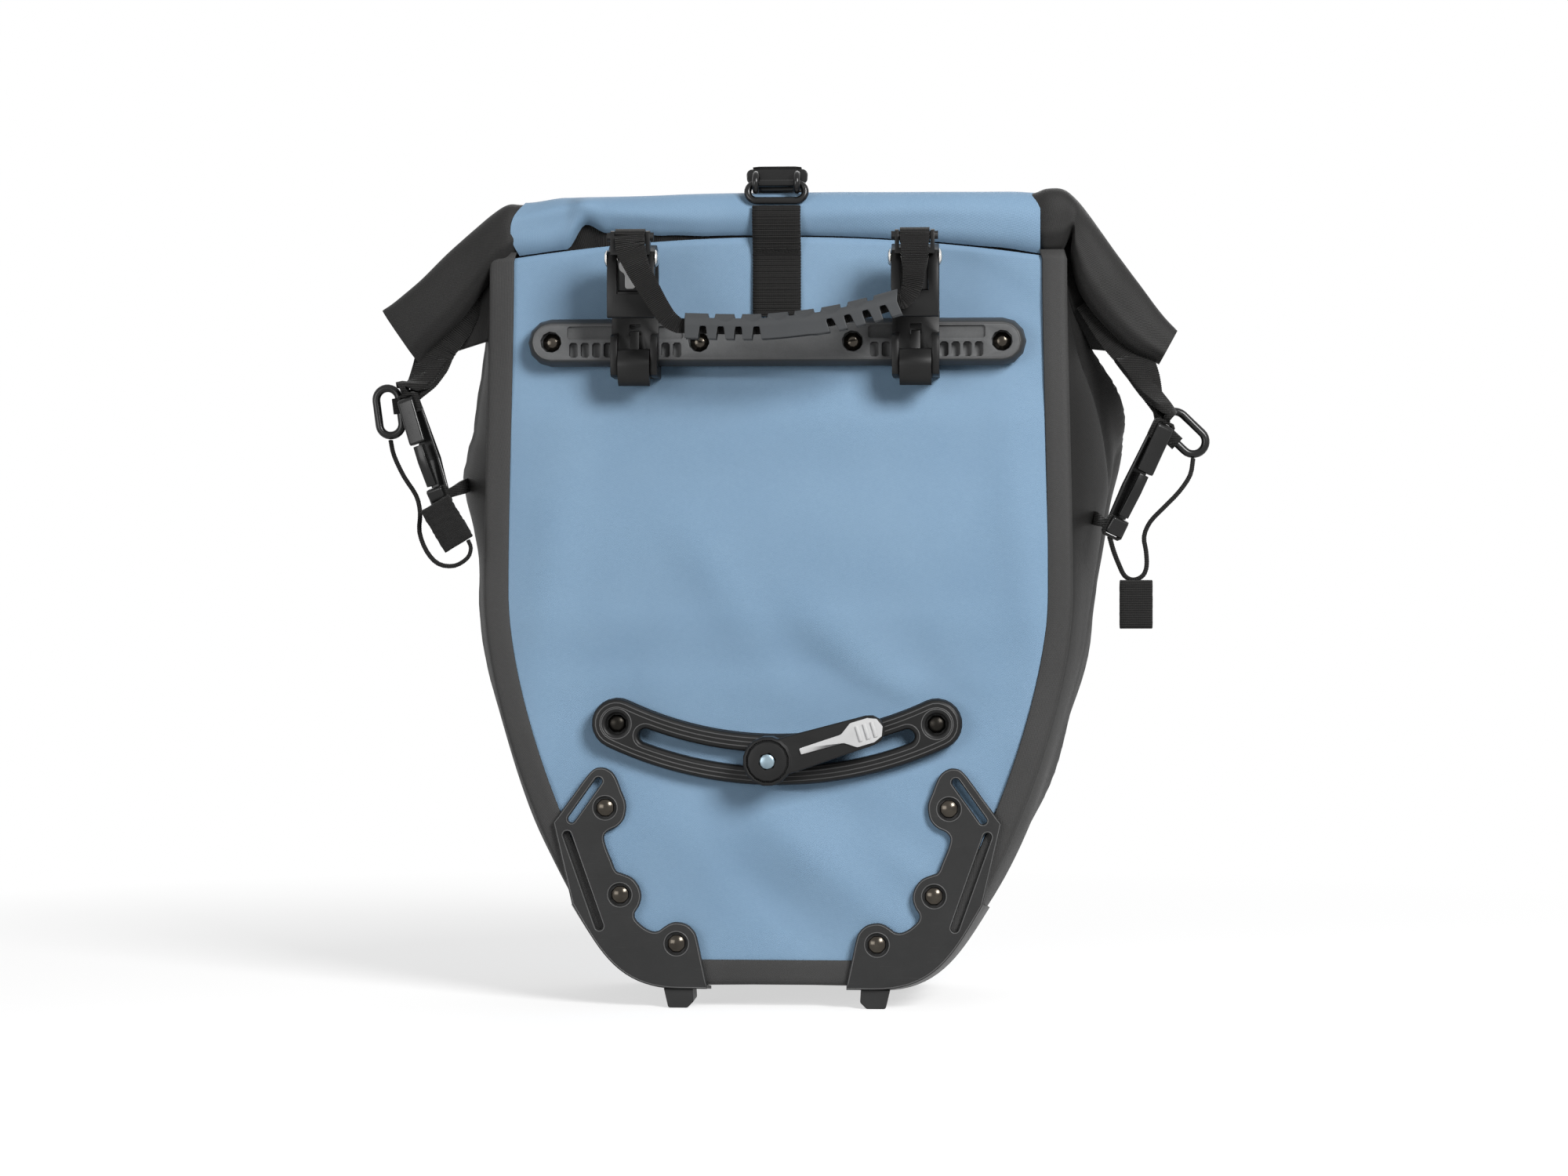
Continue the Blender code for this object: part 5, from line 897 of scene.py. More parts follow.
def makeWing(side, sign, user):  # a drooping end of the roll, pressed flat towards its open tip
    tops = smoothRoute([(t[0], 0, t[1]) for t, _, _, _ in user[side]], user["perSection"])
    lows = smoothRoute([(b[0], 0, b[1]) for _, b, _, _ in user[side]], user["perSection"])
    sizes = smoothRoute([(y, deep, 0) for _, _, y, deep in user[side]], user["perSection"])
    tall, scale, seed = user["ripple"]
    pleat, pleatPlace, pleatWidth = user["pleat"]
    rippleIn, pleatIn = user["grow"]

    def squared(value):  # a circle's sine or cosine, drawn out towards a rounded square
        return math.copysign(abs(value) ** user["square"], value)

    def ring(i, grown, inset):
        middle, up = (tops[i] + lows[i]) / 2, (tops[i] - lows[i]) / 2
        along = Vector((up.z, 0, -up.x)).normalized()
        row = []
        for a in turnsOf(user["around"]):
            c, s = math.cos(a), math.sin(a)
            point = middle + up * (grown * squared(s)) - along * inset
            point.y = sizes[i].x + sizes[i].y * grown * squared(c)
            soft = ripple((point.x, point.y * 2, point.z), tall, scale, seed + sign) * min(1, i / rippleIn)
            soft += pleat * math.exp(-((s - pleatPlace) / pleatWidth) ** 2) * (c < 0) * min(1, i / pleatIn)
            point += (up.normalized() * s + Vector((0, c, 0))) * soft
            row.append(mirrored(point, sign))
        return row

    last = len(tops) - 1
    rows = [ring(i, 1, 0) for i in range(last + 1)]
    for layer in user["layers"]:  # the layers of rolled cloth that show at the tip
        rows += [ring(last, layer + wider, deep) for wider, deep in user["groove"]]
    addPiece(f"wing_{side}", solidMesh(rows), "black", "bag", f"roll_end_{side}", 50)


# the web of cloth folded in between each wing and the side wall: lines down the wall and down the wing
webUser = {
    "left": {"wall": ((145, 8, 388), (148.5, 8, 374), (150.5, 9, 360), (151.6, 10, 346.6)),
             "wing": ((152, 12, 391), (165, 17, 375), (176, 19, 358), (187, 20, 336.6))},
    "right": {"wall": ((140, 7, 405), (148.5, 12, 376), (153, 18, 358), (158, 26, 341.8)),
              "wing": ((158, 12, 407), (168, 17, 378), (180, 19, 359), (192, 21, 338.4))},
    "thickness": 2.4, "columns": 20, "perKnot": 10, "sag": 2.4, "ripple": (1.2, 16, 30),
}


def makeWeb(side, sign, user):
    wall, wing = (smoothRoute(user[side][edge], user["perKnot"]) for edge in ("wall", "wing"))
    rows = []
    for a, b in zip(wall, wing):
        row = []
        for k in range(user["columns"] + 1):
            share = k / user["columns"]
            point = a.lerp(b, share)
            soft = ripple((point.x, 0, point.z), *user["ripple"])
            point.y += user["sag"] * math.sin(math.pi * share) - soft
            row.append(mirrored(point, sign))
        rows.append(row)
    addSheet(f"earWeb_{side}", rows, (sign * 160, 90, 360), user["thickness"], "black", "bag", smooth=50)


for side, sign in bothSides:
    makeWing(side, sign, wingUser)
    makeWeb(side, sign, webUser)
print("roll made")


strapUser = {"width": 25, "thickness": 1.5, "rib": 1.58, "crest": 0.42, "every": 6,
             "back": ((-1.35, 357.2), (-1.35, 376), (-1.6, 391), (-5, 400), (-6.8, 408), (-6.1, 414)),
             "front": ((0.8, 434.15), (7, 433.6), (15.5, 428), (20.6, 418), (21.2, 408))}


def frontLine():  # (y, z) points just clear of the front panel's middle, from the top down
    clear, every = 2 * shellUser["gap"] + strapUser["thickness"] / 2, strapUser["every"]
    near = every // 2
    middle = [row[1] for row in frontRows(frontUser, 2, soft=False)][::-1]
    line = []
    for i in range(every, shellUser["steps"][topSpan] + 1, every):
        along = (middle[i - near] - middle[min(i + near, len(middle) - 1)]).normalized()
        line.append((middle[i].y + along.z * clear, middle[i].z - along.y * clear))
    return line


def makeStrap(name, route, node, user):
    points = smoothRoute([(0, y, z) for y, z in route], 6)
    across = [Vector((1, 0, 0))] * len(points)
    mesh = bandMesh(points, [user["width"]] * len(points), across, user)
    addPiece(name, mesh, "webbing", "bag", node, 180)


makeStrap("strapBack", strapUser["back"], "closure_strap", strapUser)
makeStrap("strapFront", (*strapUser["front"], *frontLine()), "front_strap", strapUser)
print("straps made")


# webbing sewn under each end of the roll, gathered down to the clip; half-widths taper with it
endUser = {
    "left": {"route": ((-158, 15, 372), (-168, 16, 357), (-178, 15, 343), (-182, 11, 332), (-184.6, 6, 322.5),
                       (-188.5, 1, 315.5), (-190.6, -2.5, 312)),
             "widths": (14, 18, 19, 18.5, 14, 8, 5.2),
             "leans": ((-0.7, 0.2, 0.7), (-0.75, 0.2, 0.6), (-0.95, 0.15, 0.1), (-1, 0.1, -0.1),
                       (-0.9, 0.3, -0.15), (-0.7, 0.6, -0.1), (-0.5, 0.85, 0))},
    "right": {"route": ((160, 15, 366), (172, 16, 351), (183, 15, 338), (188.5, 11, 328), (192.6, 6, 317),
                        (196.5, 0, 307), (198.4, -3, 303)),
              "widths": (14, 18, 19, 17, 13, 8, 5.2),
              "leans": ((0.7, 0.2, 0.7), (0.75, 0.2, 0.6), (0.95, 0.15, 0.1), (1, 0.1, -0.05),
                        (0.9, 0.3, -0.15), (0.7, 0.6, -0.1), (0.5, 0.85, 0))},
    "rib": 1.15, "crest": 0.4, "thickness": 2.6, "perKnot": 8,
}


def softMesh(node):  # a copy of a soft solid's own shape, merged, with a UV map in metres
    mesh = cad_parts[node].data.copy()
    return reshaped(mesh, lambda shape: mergeDoubles(shape, 1e-6), layCloth)


def makeEndWebbing(side, user):
    shape, perKnot = user[side], user["perKnot"]
    route, leans = smoothRoute(shape["route"], perKnot), smoothRoute(shape["leans"], perKnot)
    band = bandMesh(route, smoothValues(shape["widths"], perKnot), leans, user)
    mesh = joinMeshes([band, softMesh(f"end_webbing_{side}")])
    addPiece(f"endWebbing_{side}", mesh, "webbing", "bag", f"end_webbing_{side}", 50)


# the carrying strap, sewn round both latch bars and threaded through the grip; (x, up from the rail, out)
handleUser = {
    "route": ((-72, 51.8, 43.65), (-71.2, 44.9, 45.6), (-67.2, 34.4, 48.3), (-59, 19.9, 49), (-52.5, 9.8, 49),
              (-46.6, 5.6, 49), (-43.2, 5.4, 49), (-20, 4.7, 49), (0, 5, 49), (26, 7.9, 49), (46, 12.2, 49),
              (63.5, 16.9, 49), (66.6, 17.8, 49), (70.6, 23.9, 49), (72, 34.4, 48), (72.1, 44.9, 45.6),
              (72, 51.8, 43.65)),
    "widths": (15, 15, 12.5, 10.5, 9.5, 8, 7.6, 7.6, 7.6, 7.6, 7.6, 7.6, 8.5, 10, 12, 14, 15),
    "rib": 0.95, "crest": 0.42, "thickness": 1.5, "perKnot": 6,
}


def onRail(point):  # (x, up from the rail's middle, out from the panel) to the bag's own frame
    return Vector((point[0], -point[2], point[1] + railMiddle.z / mm))


def makeHandleStrap(user):
    route = smoothRoute([onRail(point) for point in user["route"]], user["perKnot"])
    across = [Vector((0, 1, 0)).cross(along) for along in tangents(route)]
    mesh = bandMesh(route, smoothValues(user["widths"], user["perKnot"]), across, user)
    addPiece("handleStrap", mesh, "webbing", "handle", "handle_webbing", 60)


# the rubber grip: an open channel with a toothed top and slots cut up from its lower edges
gripUser = {
    "half": (6.5, 4.6), "wall": 1.5, "step": 0.45, "across": 30,
    "knots": (6, 12),  # the part of the handle's route that it covers
    "round": 0.6, "taper": 0.06,  # the share of its section that is round, and how the rest draws in
    "notches": (-29.8, -16.4, -3.2, 10.2, 23.5, 36.7, 50), "notch": (1.7, 2.4), "lens": (5.4, 3.9, 0.5),
    "slots": (-34, -25, -16.1, -7, 29.4, 38.3, 47.4, 56.1), "slot": (2.1, 6.4), "slant": (20, 0.42),
}


def makeGrip(user):
    knots = [onRail(point) for point in handleUser["route"][slice(*user["knots"])]]
    high, deep = user["half"]
    notchHalf, notchDrop = user["notch"]
    slotHalf, slotRise = user["slot"]
    lensHalf, lensDrop, lensDent = user["lens"]
    slantFrom, slantLean = user["slant"]
    line, _ = evenRoute(smoothRoute(knots, 12), user["step"])
    teeth = [(a + b) / 2 for a, b in zip(user["notches"], user["notches"][1:])]
    rows = []
    for point in line:
        x = point.x
        notch = max(0, *(1 - abs((x - place) / notchHalf) ** 6 for place in user["notches"]))
        slot = max(0, *(1 - abs((x - place) / slotHalf) ** 6 for place in user["slots"]))
        cut = slotRise * slot ** 0.5
        near = min(abs(x - tooth) for tooth in teeth)
        lens = lensDrop * max(0, 1 - (near / lensHalf) ** 2) ** 0.7
        row = []
        for k in range(-user["across"], user["across"] + 1):
            share, side = abs(k) / user["across"], 1 if k > 0 else -1
            if share < user["round"]:
                turn = share / user["round"] * math.pi / 2
                y, z = deep * math.sin(turn), high * math.cos(turn)
                drop = high - z
                z -= notch ** 0.3 * max(0, notchDrop - drop)
                dent = lensDent * max(0, min(1, (lens - drop) / 0.5, drop / 0.8))
                y, z = y - dent, z - dent * 0.3
            else:
                low = (share - user["round"]) / (1 - user["round"])
                y, z = deep * (1 - user["taper"] * low), -(high - cut) * low
            slant = slantLean * max(0, -z) * (x > slantFrom)
            row.append(point + Vector((slant, -side * y, z)))
        rows.append(row)
    middle = line[len(line) // 2] + Vector((0, 0, -2))
    piece = addSheet("grip", rows, middle, user["wall"], "rubber", "handle", "handle_grip", 38)
    piece.modifiers["thickness"].use_even_offset = False


for side, _ in bothSides:
    makeEndWebbing(side, endUser)
    for name, node, body in ((f"sideLoop_{side}", f"side_loop_{side}", "bag"),
                             (f"barLoop_{side}", f"handle_loop_{side}", f"{side}_latch")):
        addPiece(name, softMesh(node), "webbing", body, node, 40)
makeHandleStrap(handleUser)
makeGrip(gripUser)
print("webbing made")


# snap hooks, rings and tabs beside the bag; places are on the right, mirrored for the left
clipUser = {
    "left": {"clip": ((192, -4, 316), (174, -3, 261)), "ring": ((203.5, 8, 309), (0.13, 0, 1), 12.4, 6),
             "tab": ((170.4, -9.7, 250.3), 31, 4.2, "fuzzy", 0.55)},
    "right": {"clip": ((199, -4, 301), (172, -3, 244.5)),
              "ring": ((209.5, 8, 297), (0.72, 0, -0.69), 13, 6.4),
              "tab": ((184.8, 3, 208.6), 0, 6, "webbing", 0.16)},
    "bar": 2.1, "deep": 4.6, "edge": 1.35, "lean": (0.35, -1, 0), "barAround": 18,
    # a hook's outline from its eye: (share of its length, mm across, radius); round its
    # back, in at the mouth that the gate closes, and back along the inside
    "hook": ((0, -4.8, 3), (0.6, -7.4, 10), (1, -3.2, 2.8), (1, 3.4, 2.8), (0.86, 5.6, 2), (0.845, 2.2, 0.4),
             (0.88, 2.0, 0.5), (0.88, -2.4, 0.6), (0.6, -4.0, 2), (0.12, -3.0, 0.8), (0.12, 3.0, 0.8),
             (0.435, 3.3, 0.3), (0.43, 6.5, 1.2), (0, 4.8, 3)),
    "tabSize": (17, 25), "tabRows": 60, "tabAround": 64, "tabSquare": 0.42, "tabWear": (0.5, 1, 0.6),
    "tabEnds": (10, 0.25, 0.04, 0.12),  # how square, soft and narrowed they are, and how thin at least
    "tabRipples": ((1, 1.6, 4), (0.6, 5, 9)),
}


def filletLine(corners, steps=6):  # a closed outline through (x, y, radius) corners
    points = []
    for i, (x, y, radius) in enumerate(corners):
        here = Vector((x, y))
        before = Vector(corners[i - 1][:2]) - here
        after = Vector(corners[(i + 1) % len(corners)][:2]) - here
        half = before.angle(after) / 2
        reach = min(radius / math.tan(half), before.length * 0.48, after.length * 0.48) if half < 1.55 else 0
        if reach < 0.02:  # a sharp or nearly straight corner stays a point
            points.append(here)
            continue
        before.normalize()
        after.normalize()
        centre = here + (before + after).normalized() * (reach / math.cos(half))
        start, end = here + before * reach - centre, here + after * reach - centre
        turn = -start.angle_signed(end)
        points += [centre + Matrix.Rotation(turn * k / steps, 2) @ start for k in range(steps + 1)]
    return points


def outlineNormals(loop):  # straight out of a closed outline, at each of its points
    area = sum(a.x * b.y - a.y * b.x for a, b in zip(loop, [*loop[1:], loop[0]]))
    return [Vector((along.y, -along.x)) * math.copysign(1, area) for along in tangents(loop, closed=True)]


def plateMesh(outline, holes, low, high, edge, lay, steps=3, both=False):
    # a plate between two levels with rounded rims; lay puts a point (x, y, level) in its place
    turns = [math.pi / 2 * k / steps for k in range(steps + 1)]
    levels = [(high - edge + edge * math.sin(a), edge * (1 - math.cos(a))) for a in turns]
    levels = ([(low + high - level, inset) for level, inset in levels[::-1]] if both else [(low, 0)]) + levels
    shape = bmesh.new()
    rims = ([], [])
    for loop in (outline, *holes):
        count, way = len(loop), 1 if loop is outline else -1
        normals = outlineNormals(loop)
        rings = []
        for level, inset in levels:
            moved = [point - normal * (inset * way) for point, normal in zip(loop, normals)]
            rings.append([shape.verts.new(at(lay(Vector((*point, level))))) for point in moved])
        for below, above in zip(rings, rings[1:]):
            for i in range(count):
                n = (i + 1) % count
                shape.faces.new((below[i], below[n], above[n], above[i]))
        for rim, ring in zip(rims, (rings[0], rings[-1])):
            rim += [shape.edges.get((ring[i], ring[(i + 1) % count])) for i in range(count)]
    for rim in rims:
        bmesh.ops.triangle_fill(shape, use_beauty=True, use_dissolve=False, edges=rim)
    layCloth(shape)
    return outward(meshOf(shape))


def addPlate(name, mesh, finish, node):
    piece = addPiece(name, mesh, finish, "bag", node, 30)
    weighted = piece.modifiers.new("shading", "WEIGHTED_NORMAL")
    weighted.keep_sharp = True


def makeClip(side, sign, user):
    start, end = (mirrored(place, sign) for place in user[side]["clip"])
    along = (end - start).normalized()
    thick = along.cross(mirrored(user["lean"], sign)).normalized()
    across, length = thick.cross(along), (end - start).length

    def lay(point):
        return start + along * point.x + across * point.y + thick * point.z

    outline = filletLine([(length * share, wide, radius) for share, wide, radius in user["hook"]])
    mesh = plateMesh(outline, [], -user["deep"], user["deep"], user["edge"], lay, both=True)
    addPlate(f"clip_{side}", mesh, "gloss", f"snap_hook_{side}")


def ovalLine(centre, lengthwise, across, long, short, steps=14):  # straight sides and round ends
    points = []
    for turn in (1, -1):
        for k in range(steps + 1):
            a = math.pi * (k / steps - 0.5)
            reach = lengthwise * (long - short + short * math.cos(a)) + across * short * math.sin(a)
            points.append(centre + reach * turn)
    return points


def makeRing(side, sign, user):
    centre, lengthwise, long, short = user[side]["ring"]
    lengthwise = mirrored(lengthwise, sign).normalized()
    line = ovalLine(mirrored(centre, sign), lengthwise, Vector((0, 1, 0)).cross(lengthwise), long, short)
    addPiece(f"ring_{side}", tubeMesh(line, user["bar"], user["barAround"], closed=True), "gloss", "bag",
             f"end_ring_{side}", 80)


def makeTab(side, sign, user):  # a folded tag: soft, with a worn edge
    place, lean, thick, finish, rough = user[side]["tab"]
    wide, tall = user["tabSize"]
    square, soft, narrow, least = user["tabEnds"]
    turn, wear = Matrix.Rotation(math.radians(sign * lean), 3, "Y"), Vector(user["tabWear"])
    rows = []
    for i in range(user["tabRows"] + 1):
        z = -1 + 2 * i / user["tabRows"]
        ends = (1 - abs(z) ** square) ** soft
        row = []
        for a in turnsOf(user["tabAround"]):
            x, y = (math.copysign(abs(f(a)) ** user["tabSquare"], f(a)) for f in (math.cos, math.sin))
            x *= wide / 2 * (1 - narrow + narrow * ends)
            point = Vector((x, y * thick / 2 * max(ends, least), z * tall / 2))
            point += wear * rough * sum(ripple(point, *wave) for wave in user["tabRipples"])
            row.append(mirrored(place, sign) + turn @ point)
        rows.append(row)
    addPiece(f"keeperTab_{side}", solidMesh(rows), finish, "bag", f"keeper_tab_{side}", 60)


for side, sign in bothSides:
    makeClip(side, sign, clipUser)
    makeRing(side, sign, clipUser)
    makeTab(side, sign, clipUser)


# the strap's hook, a stamped plate with a curled horn at each end, and the ring below it
strapHookUser = {
    "face": ((-8, 0, 1), (8, 0, 1), (15.6, 5, 2.5), (16, 11.4, 3), (-16, 11.4, 3), (-15.6, 5, 2.5)),
    "overRing": 0.95, "levels": (-2.6, -0.2), "edge": 0.7,
    # each horn: its place (x, out, up), its radius, the angles that it turns through and its bar
    "horn": (10.6, -3.4, 3.6), "curl": 4.7, "angles": (20, 244), "steps": 24, "bar": 1.7, "around": 14,
    "ring": (14.8, 4.6), "ringBar": 1.9, "ringAround": 16, "ringLean": (0, 1.5, 9.1),
}


def makeStrapHook(user):
    ring = ownPlace("strap_ring")
    top = ring.z + user["overRing"]
    low, high = user["levels"]

    def lay(point):
        return Vector((point.x, -point.z, top + point.y))

    meshes = [plateMesh(filletLine(user["face"]), [], low, high, user["edge"], lay, both=True)]
    (x, out, up), radius, steps = user["horn"], user["curl"], user["steps"]
    first, last = user["angles"]
    turns = [math.radians(first + (last - first) * k / steps) for k in range(steps + 1)]
    for _, sign in bothSides:
        curl = [Vector((sign * x, out + radius * math.cos(a), top + up + radius * math.sin(a)))
                for a in turns]
        meshes.append(tubeMesh(curl, user["bar"], user["around"]))
    addPlate("strapHook", joinMeshes(meshes), "gloss", "strap_hook")
    line = ovalLine(ring, Vector((1, 0, 0)), Vector(user["ringLean"]).normalized(), *user["ring"])
    addPiece("strapRing", tubeMesh(line, user["ringBar"], user["ringAround"], closed=True), "gloss", "bag",
             "strap_ring", 80)


makeStrapHook(strapHookUser)
print("clips made")


# corner guards: a face plate with raised rims, a wall round the bag's lower edge, and a foot
guardUser = {
    # its inner side on the left, from the upper end of its wall round the lobes to the foot
    "lobes": ((-115.8, 95.6), (-106, 109), (-96.4, 121.8), (-91.2, 124.2), (-86.5, 122.8), (-83.3, 119.2),
              (-80.2, 111.5), (-78, 105.2), (-78.9, 98.2), (-82.4, 93.8), (-87.2, 91.4), (-89.4, 88.3),
              (-88.4, 83.2), (-85.8, 76.8), (-83.2, 70.8), (-80, 69.4), (-74.7, 67), (-71.2, 62.4),
              (-70.1, 57.6), (-71.2, 52.9), (-73.5, 49), (-73, 45.7), (-69.2, 42), (-64.8, 39.7),
              (-61.3, 39.8), (-58.5, 41.7), (-55.2, 43.7), (-51.5, 44.4), (-46.4, 43.2), (-42.7, 39.8),
              (-41, 35.6), (-38.7, 25), (-36.3, 14)),
    "slots": (((-92.2, 117.1), (-106.2, 97.5)), ((-108.5, 89.2), (-91.8, 42.2))), "slotHalf": 1.95,
    "screws": ((-88.8, 103.4), (-81.1, 58.5), (-51.8, 33.4)), "bore": 5.7,
    "levels": (2.1, 3.3, 5.3), "edge": 0.7, "rim": (0.8, 0.28), "holeRim": 0.7, "clear": 0.6, "wall": 1.8,
    "wrap": 24, "wrapSteps": 6, "start": 0.72,  # how far along the bottom the wall starts
    "foot": ((58.5, 10, 0), (56.2, 0.1, 1.4), (46.3, 0.1, 1.8), (43, 3.4, 1.5), (43.4, 10, 0)),
    "footDepth": 18.9, "footEdge": 0.6, "overlap": 1,
}


def slotLine(start, end, half):
    start, end = Vector(start), Vector(end)
    along = (end - start).normalized()
    return ovalLine((start + end) / 2, along, along.orthogonal(), (end - start).length / 2 + half, half, 8)


def insetLine(loop, distance):  # the same outline moved inwards
    return [point - normal * distance for point, normal in zip(loop, outlineNormals(loop))]


def boreLine(centre, radius):
    return [centre + Matrix.Rotation(a, 2) @ Vector((radius, 0)) for a in turnsOf(32)]


def faceOut(point):  # (x, z, out from the panel) to the bag's own frame
    return Vector((point.x, -point.z, point.y))


def addRims(name, loops, level, radius, lay=faceOut, around=8, closest=0.12):
    # fine raised beads along outlines, sunk by a hair into the face at their level
    meshes = []
    for loop in loops:
        loop = [point for i, point in enumerate(loop) if (point - loop[i - 1]).length > closest]
        line = [lay(Vector((*point, level - hair))) for point in loop]
        meshes.append(tubeMesh(line, radius, around, closed=True))
    # the beads take the lighter rim finish: edge wear and a painted highlight
    addPiece(name, joinMeshes(meshes), "rim", "bag", smooth=80)


def makeGuard(side, sign, user):
    low, floor, high = user["levels"]
    steps = shellUser["steps"][1]
    stations = [station(0, user["start"]), *[station(1, k / steps) for k in range(steps)], station(2, 0)]
    rim = [back + normal * (user["clear"] + user["wall"]) for back, _, normal, _ in stations]
    lobes = smoothRoute([(x, z, 0) for x, z in user["lobes"]], 4)
    line = [point.xy for point in lobes] + [Vector((-p.x, p.z)) for p in rim]
    slots = [slotLine(a, b, user["slotHalf"]) for a, b in user["slots"]]
    bores = [boreLine(Vector(place), user["bore"]) for place in user["screws"]]

    def lay(point):  # the outline is the left guard's
        return mirrored(faceOut(point), -sign)

    meshes = [plateMesh(line, slots, low, floor, hair, lay, 1),
              plateMesh(line, slots + bores, floor, high, user["edge"], lay)]
    inset, radius = user["rim"]
    loops = [insetLine(line, inset), *[insetLine(loop, -user["holeRim"]) for loop in slots + bores]]
    addRims(f"guardRims_{side}", loops, high, radius, lay)
    rows = []
    for back, front, normal, swell in stations:
        shares = [user["wrap"] / front.y * k / user["wrapSteps"] for k in range(user["wrapSteps"] + 1)]
        inner = [wallPoint(back, front, normal, swell, share) + normal * user["clear"] for share in shares]
        inner.insert(0, inner[0] + Vector((0, -low - user["overlap"], 0)))
        row = inner + [point + normal * (user["wall"] - 2 * hair) for point in inner[::-1]]
        rows.append([mirrored(point, sign) for point in row])
    meshes.append(solidMesh(rows))
    meshes.append(plateMesh(filletLine(user["foot"], 5), [], -user["footDepth"], low + user["overlap"],
                            user["footEdge"], lambda point: mirrored(faceOut(point), sign), both=True))
    addPlate(f"guard_{side}", joinMeshes(meshes), "guard", f"corner_guard_{side}")


for side, sign in bothSides:
    makeGuard(side, sign, guardUser)
print("guards made")


# the curved rail, and raised beads on both rails
railUser = {
    # the upper rail's face: length, height, the bead's distance from its edge and its level
    "rail": (257, 24.4, 3.3, 12.3),
    # the curved rail: radius, reach in degrees, half its height and its level
    "arc": (193.7, 25.2, 13.2, 9.3), "slot": (20.4, 3.75), "back": 0.3, "arcEdge": 2.2, "faceIn": 0.3,
    "bore": 5.4, "floor": 4.6, "bead": 0.28, "beadsIn": (2.4, 4.6), "slotBead": 2.6, "boreBead": 2.4,
}


def arcLine(radius, reach, half, steps=36):  # an outline round an arc, from -reach to reach degrees
    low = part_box("lower_rail")[0]
    middle = Vector((0, (low.z - home.z) / mm + railUser["arc"][2] + radius))
    ends = [math.radians(reach) * (2 * k / steps - 1) for k in range(steps + 1)]

    def place(a, size):
        return middle + Vector((math.sin(a), -math.cos(a))) * size

    caps = [math.pi * k / 12 for k in range(1, 12)]
    line = [place(a, radius + half) for a in ends]
    for a, turn in ((ends[-1], 1), (ends[0], -1)):
        tip = place(a, radius)
        out = Vector((math.cos(a), math.sin(a))) * half * turn
        down = Vector((math.sin(a), -math.cos(a))) * half * turn
        line += [tip + down * math.cos(t) + out * math.sin(t) for t in caps]
        if turn == 1:
            line += [place(b, radius - half) for b in ends[::-1]]
    return line


def makeRails(user):
    length, height, inset, level = user["rail"]
    half = height / 2 - inset
    oval = ovalLine(Vector((0, railMiddle.z / mm)), Vector((1, 0)), Vector((0, 1)), length / 2 - inset, half)
    addRims("railRim", [oval], level, user["bead"])
    radius, reach, half, high = user["arc"]
    slotReach, slotHalf = user["slot"]
    back, floor = user["back"], user["floor"]
    slot = arcLine(radius, slotReach, slotHalf)
    bores = [boreLine(ownPlace(f"arc_screw_{n}").xz, user["bore"]) for n in (1, 2)]
    face = arcLine(radius, reach, half - user["faceIn"])
    meshes = [plateMesh(arcLine(radius, reach, half), [slot], back, floor, hair, faceOut, 1),
              plateMesh(face, [slot, *bores], floor, high, user["arcEdge"], faceOut, 4)]
    addPlate("arcRail", joinMeshes(meshes), "plastic", "lower_rail")
    outer, inner = (arcLine(radius, reach, half - inset) for inset in user["beadsIn"])
    loops = [outer, arcLine(radius, slotReach, slotHalf + user["slotBead"]), inner,
             *[insetLine(loop, -user["boreBead"]) for loop in bores]]
    addRims("arcRims", loops, high, user["bead"])


makeRails(railUser)


# stitches and knurls, set out along a line by one node tree
def repeatTree(segments=8, rings=6):
    group = bpy.data.node_groups.new("repeatAlong", "GeometryNodeTree")
    inputs = {"Line": "Geometry", "Spacing": "Float", "Size": "Vector", "Finish": "Material"}
    for name, kind in inputs.items():
        group.interface.new_socket(name, in_out="INPUT", socket_type="NodeSocket" + kind)
    group.interface.new_socket("Shape", in_out="OUTPUT", socket_type="NodeSocketGeometry")
    tree = Tree(group)
    start = tree.node("NodeGroupInput").socket.node.outputs
    line, spacing, size, finish = (Sock(group, start[name]) for name in inputs)
    curve = tree.node("GeometryNodeMeshToCurve", Mesh=line)
    points = tree.node("GeometryNodeCurveToPoints", {"mode": "LENGTH"}, Curve=curve, Length=spacing)
    tangent = Sock(group, points.socket.node.outputs["Tangent"])
    bead = tree.node("GeometryNodeMeshUVSphere", Segments=segments, Rings=rings, Radius=0.5)
    turn = tree.node("FunctionNodeAlignRotationToVector", {"axis": "X"}, Vector=tangent)
    laid = tree.node("GeometryNodeInstanceOnPoints", Points=points, Instance=bead, Rotation=turn, Scale=size)
    solid = tree.node("GeometryNodeRealizeInstances", Geometry=laid)
    dressed = tree.node("GeometryNodeSetMaterial", Geometry=solid, Material=finish)
    group.links.new(dressed.socket, group.nodes.new("NodeGroupOutput").inputs["Shape"])
    return group


repeatGroup = repeatTree()


def repeatAlong(name, lines, spacing, size, finish, body):  # lines hold points in the bag's frame
    shape = bmesh.new()
    for line in lines:
        corners = [shape.verts.new(at(point)) for point in line]
        for a, b in zip(corners, corners[1:]):
            shape.edges.new((a, b))
    piece = newObject("line", meshOf(shape))
    repeat = piece.modifiers.new("repeat", "NODES")
    repeat.node_group = repeatGroup
    values = {"Spacing": spacing * mm, "Size": [value * mm for value in size], "Finish": finishes[finish]}
    for item in repeatGroup.interface.items_tree:
        if item.name in values:
            repeat[item.identifier] = values[item.name]
    graph = bpy.context.evaluated_depsgraph_get()
    mesh = bpy.data.meshes.new_from_object(piece.evaluated_get(graph), preserve_all_data_layers=True,
                                           depsgraph=graph)
    bpy.data.objects.remove(piece)
    addPiece(name, mesh, finish, body, smooth=80)


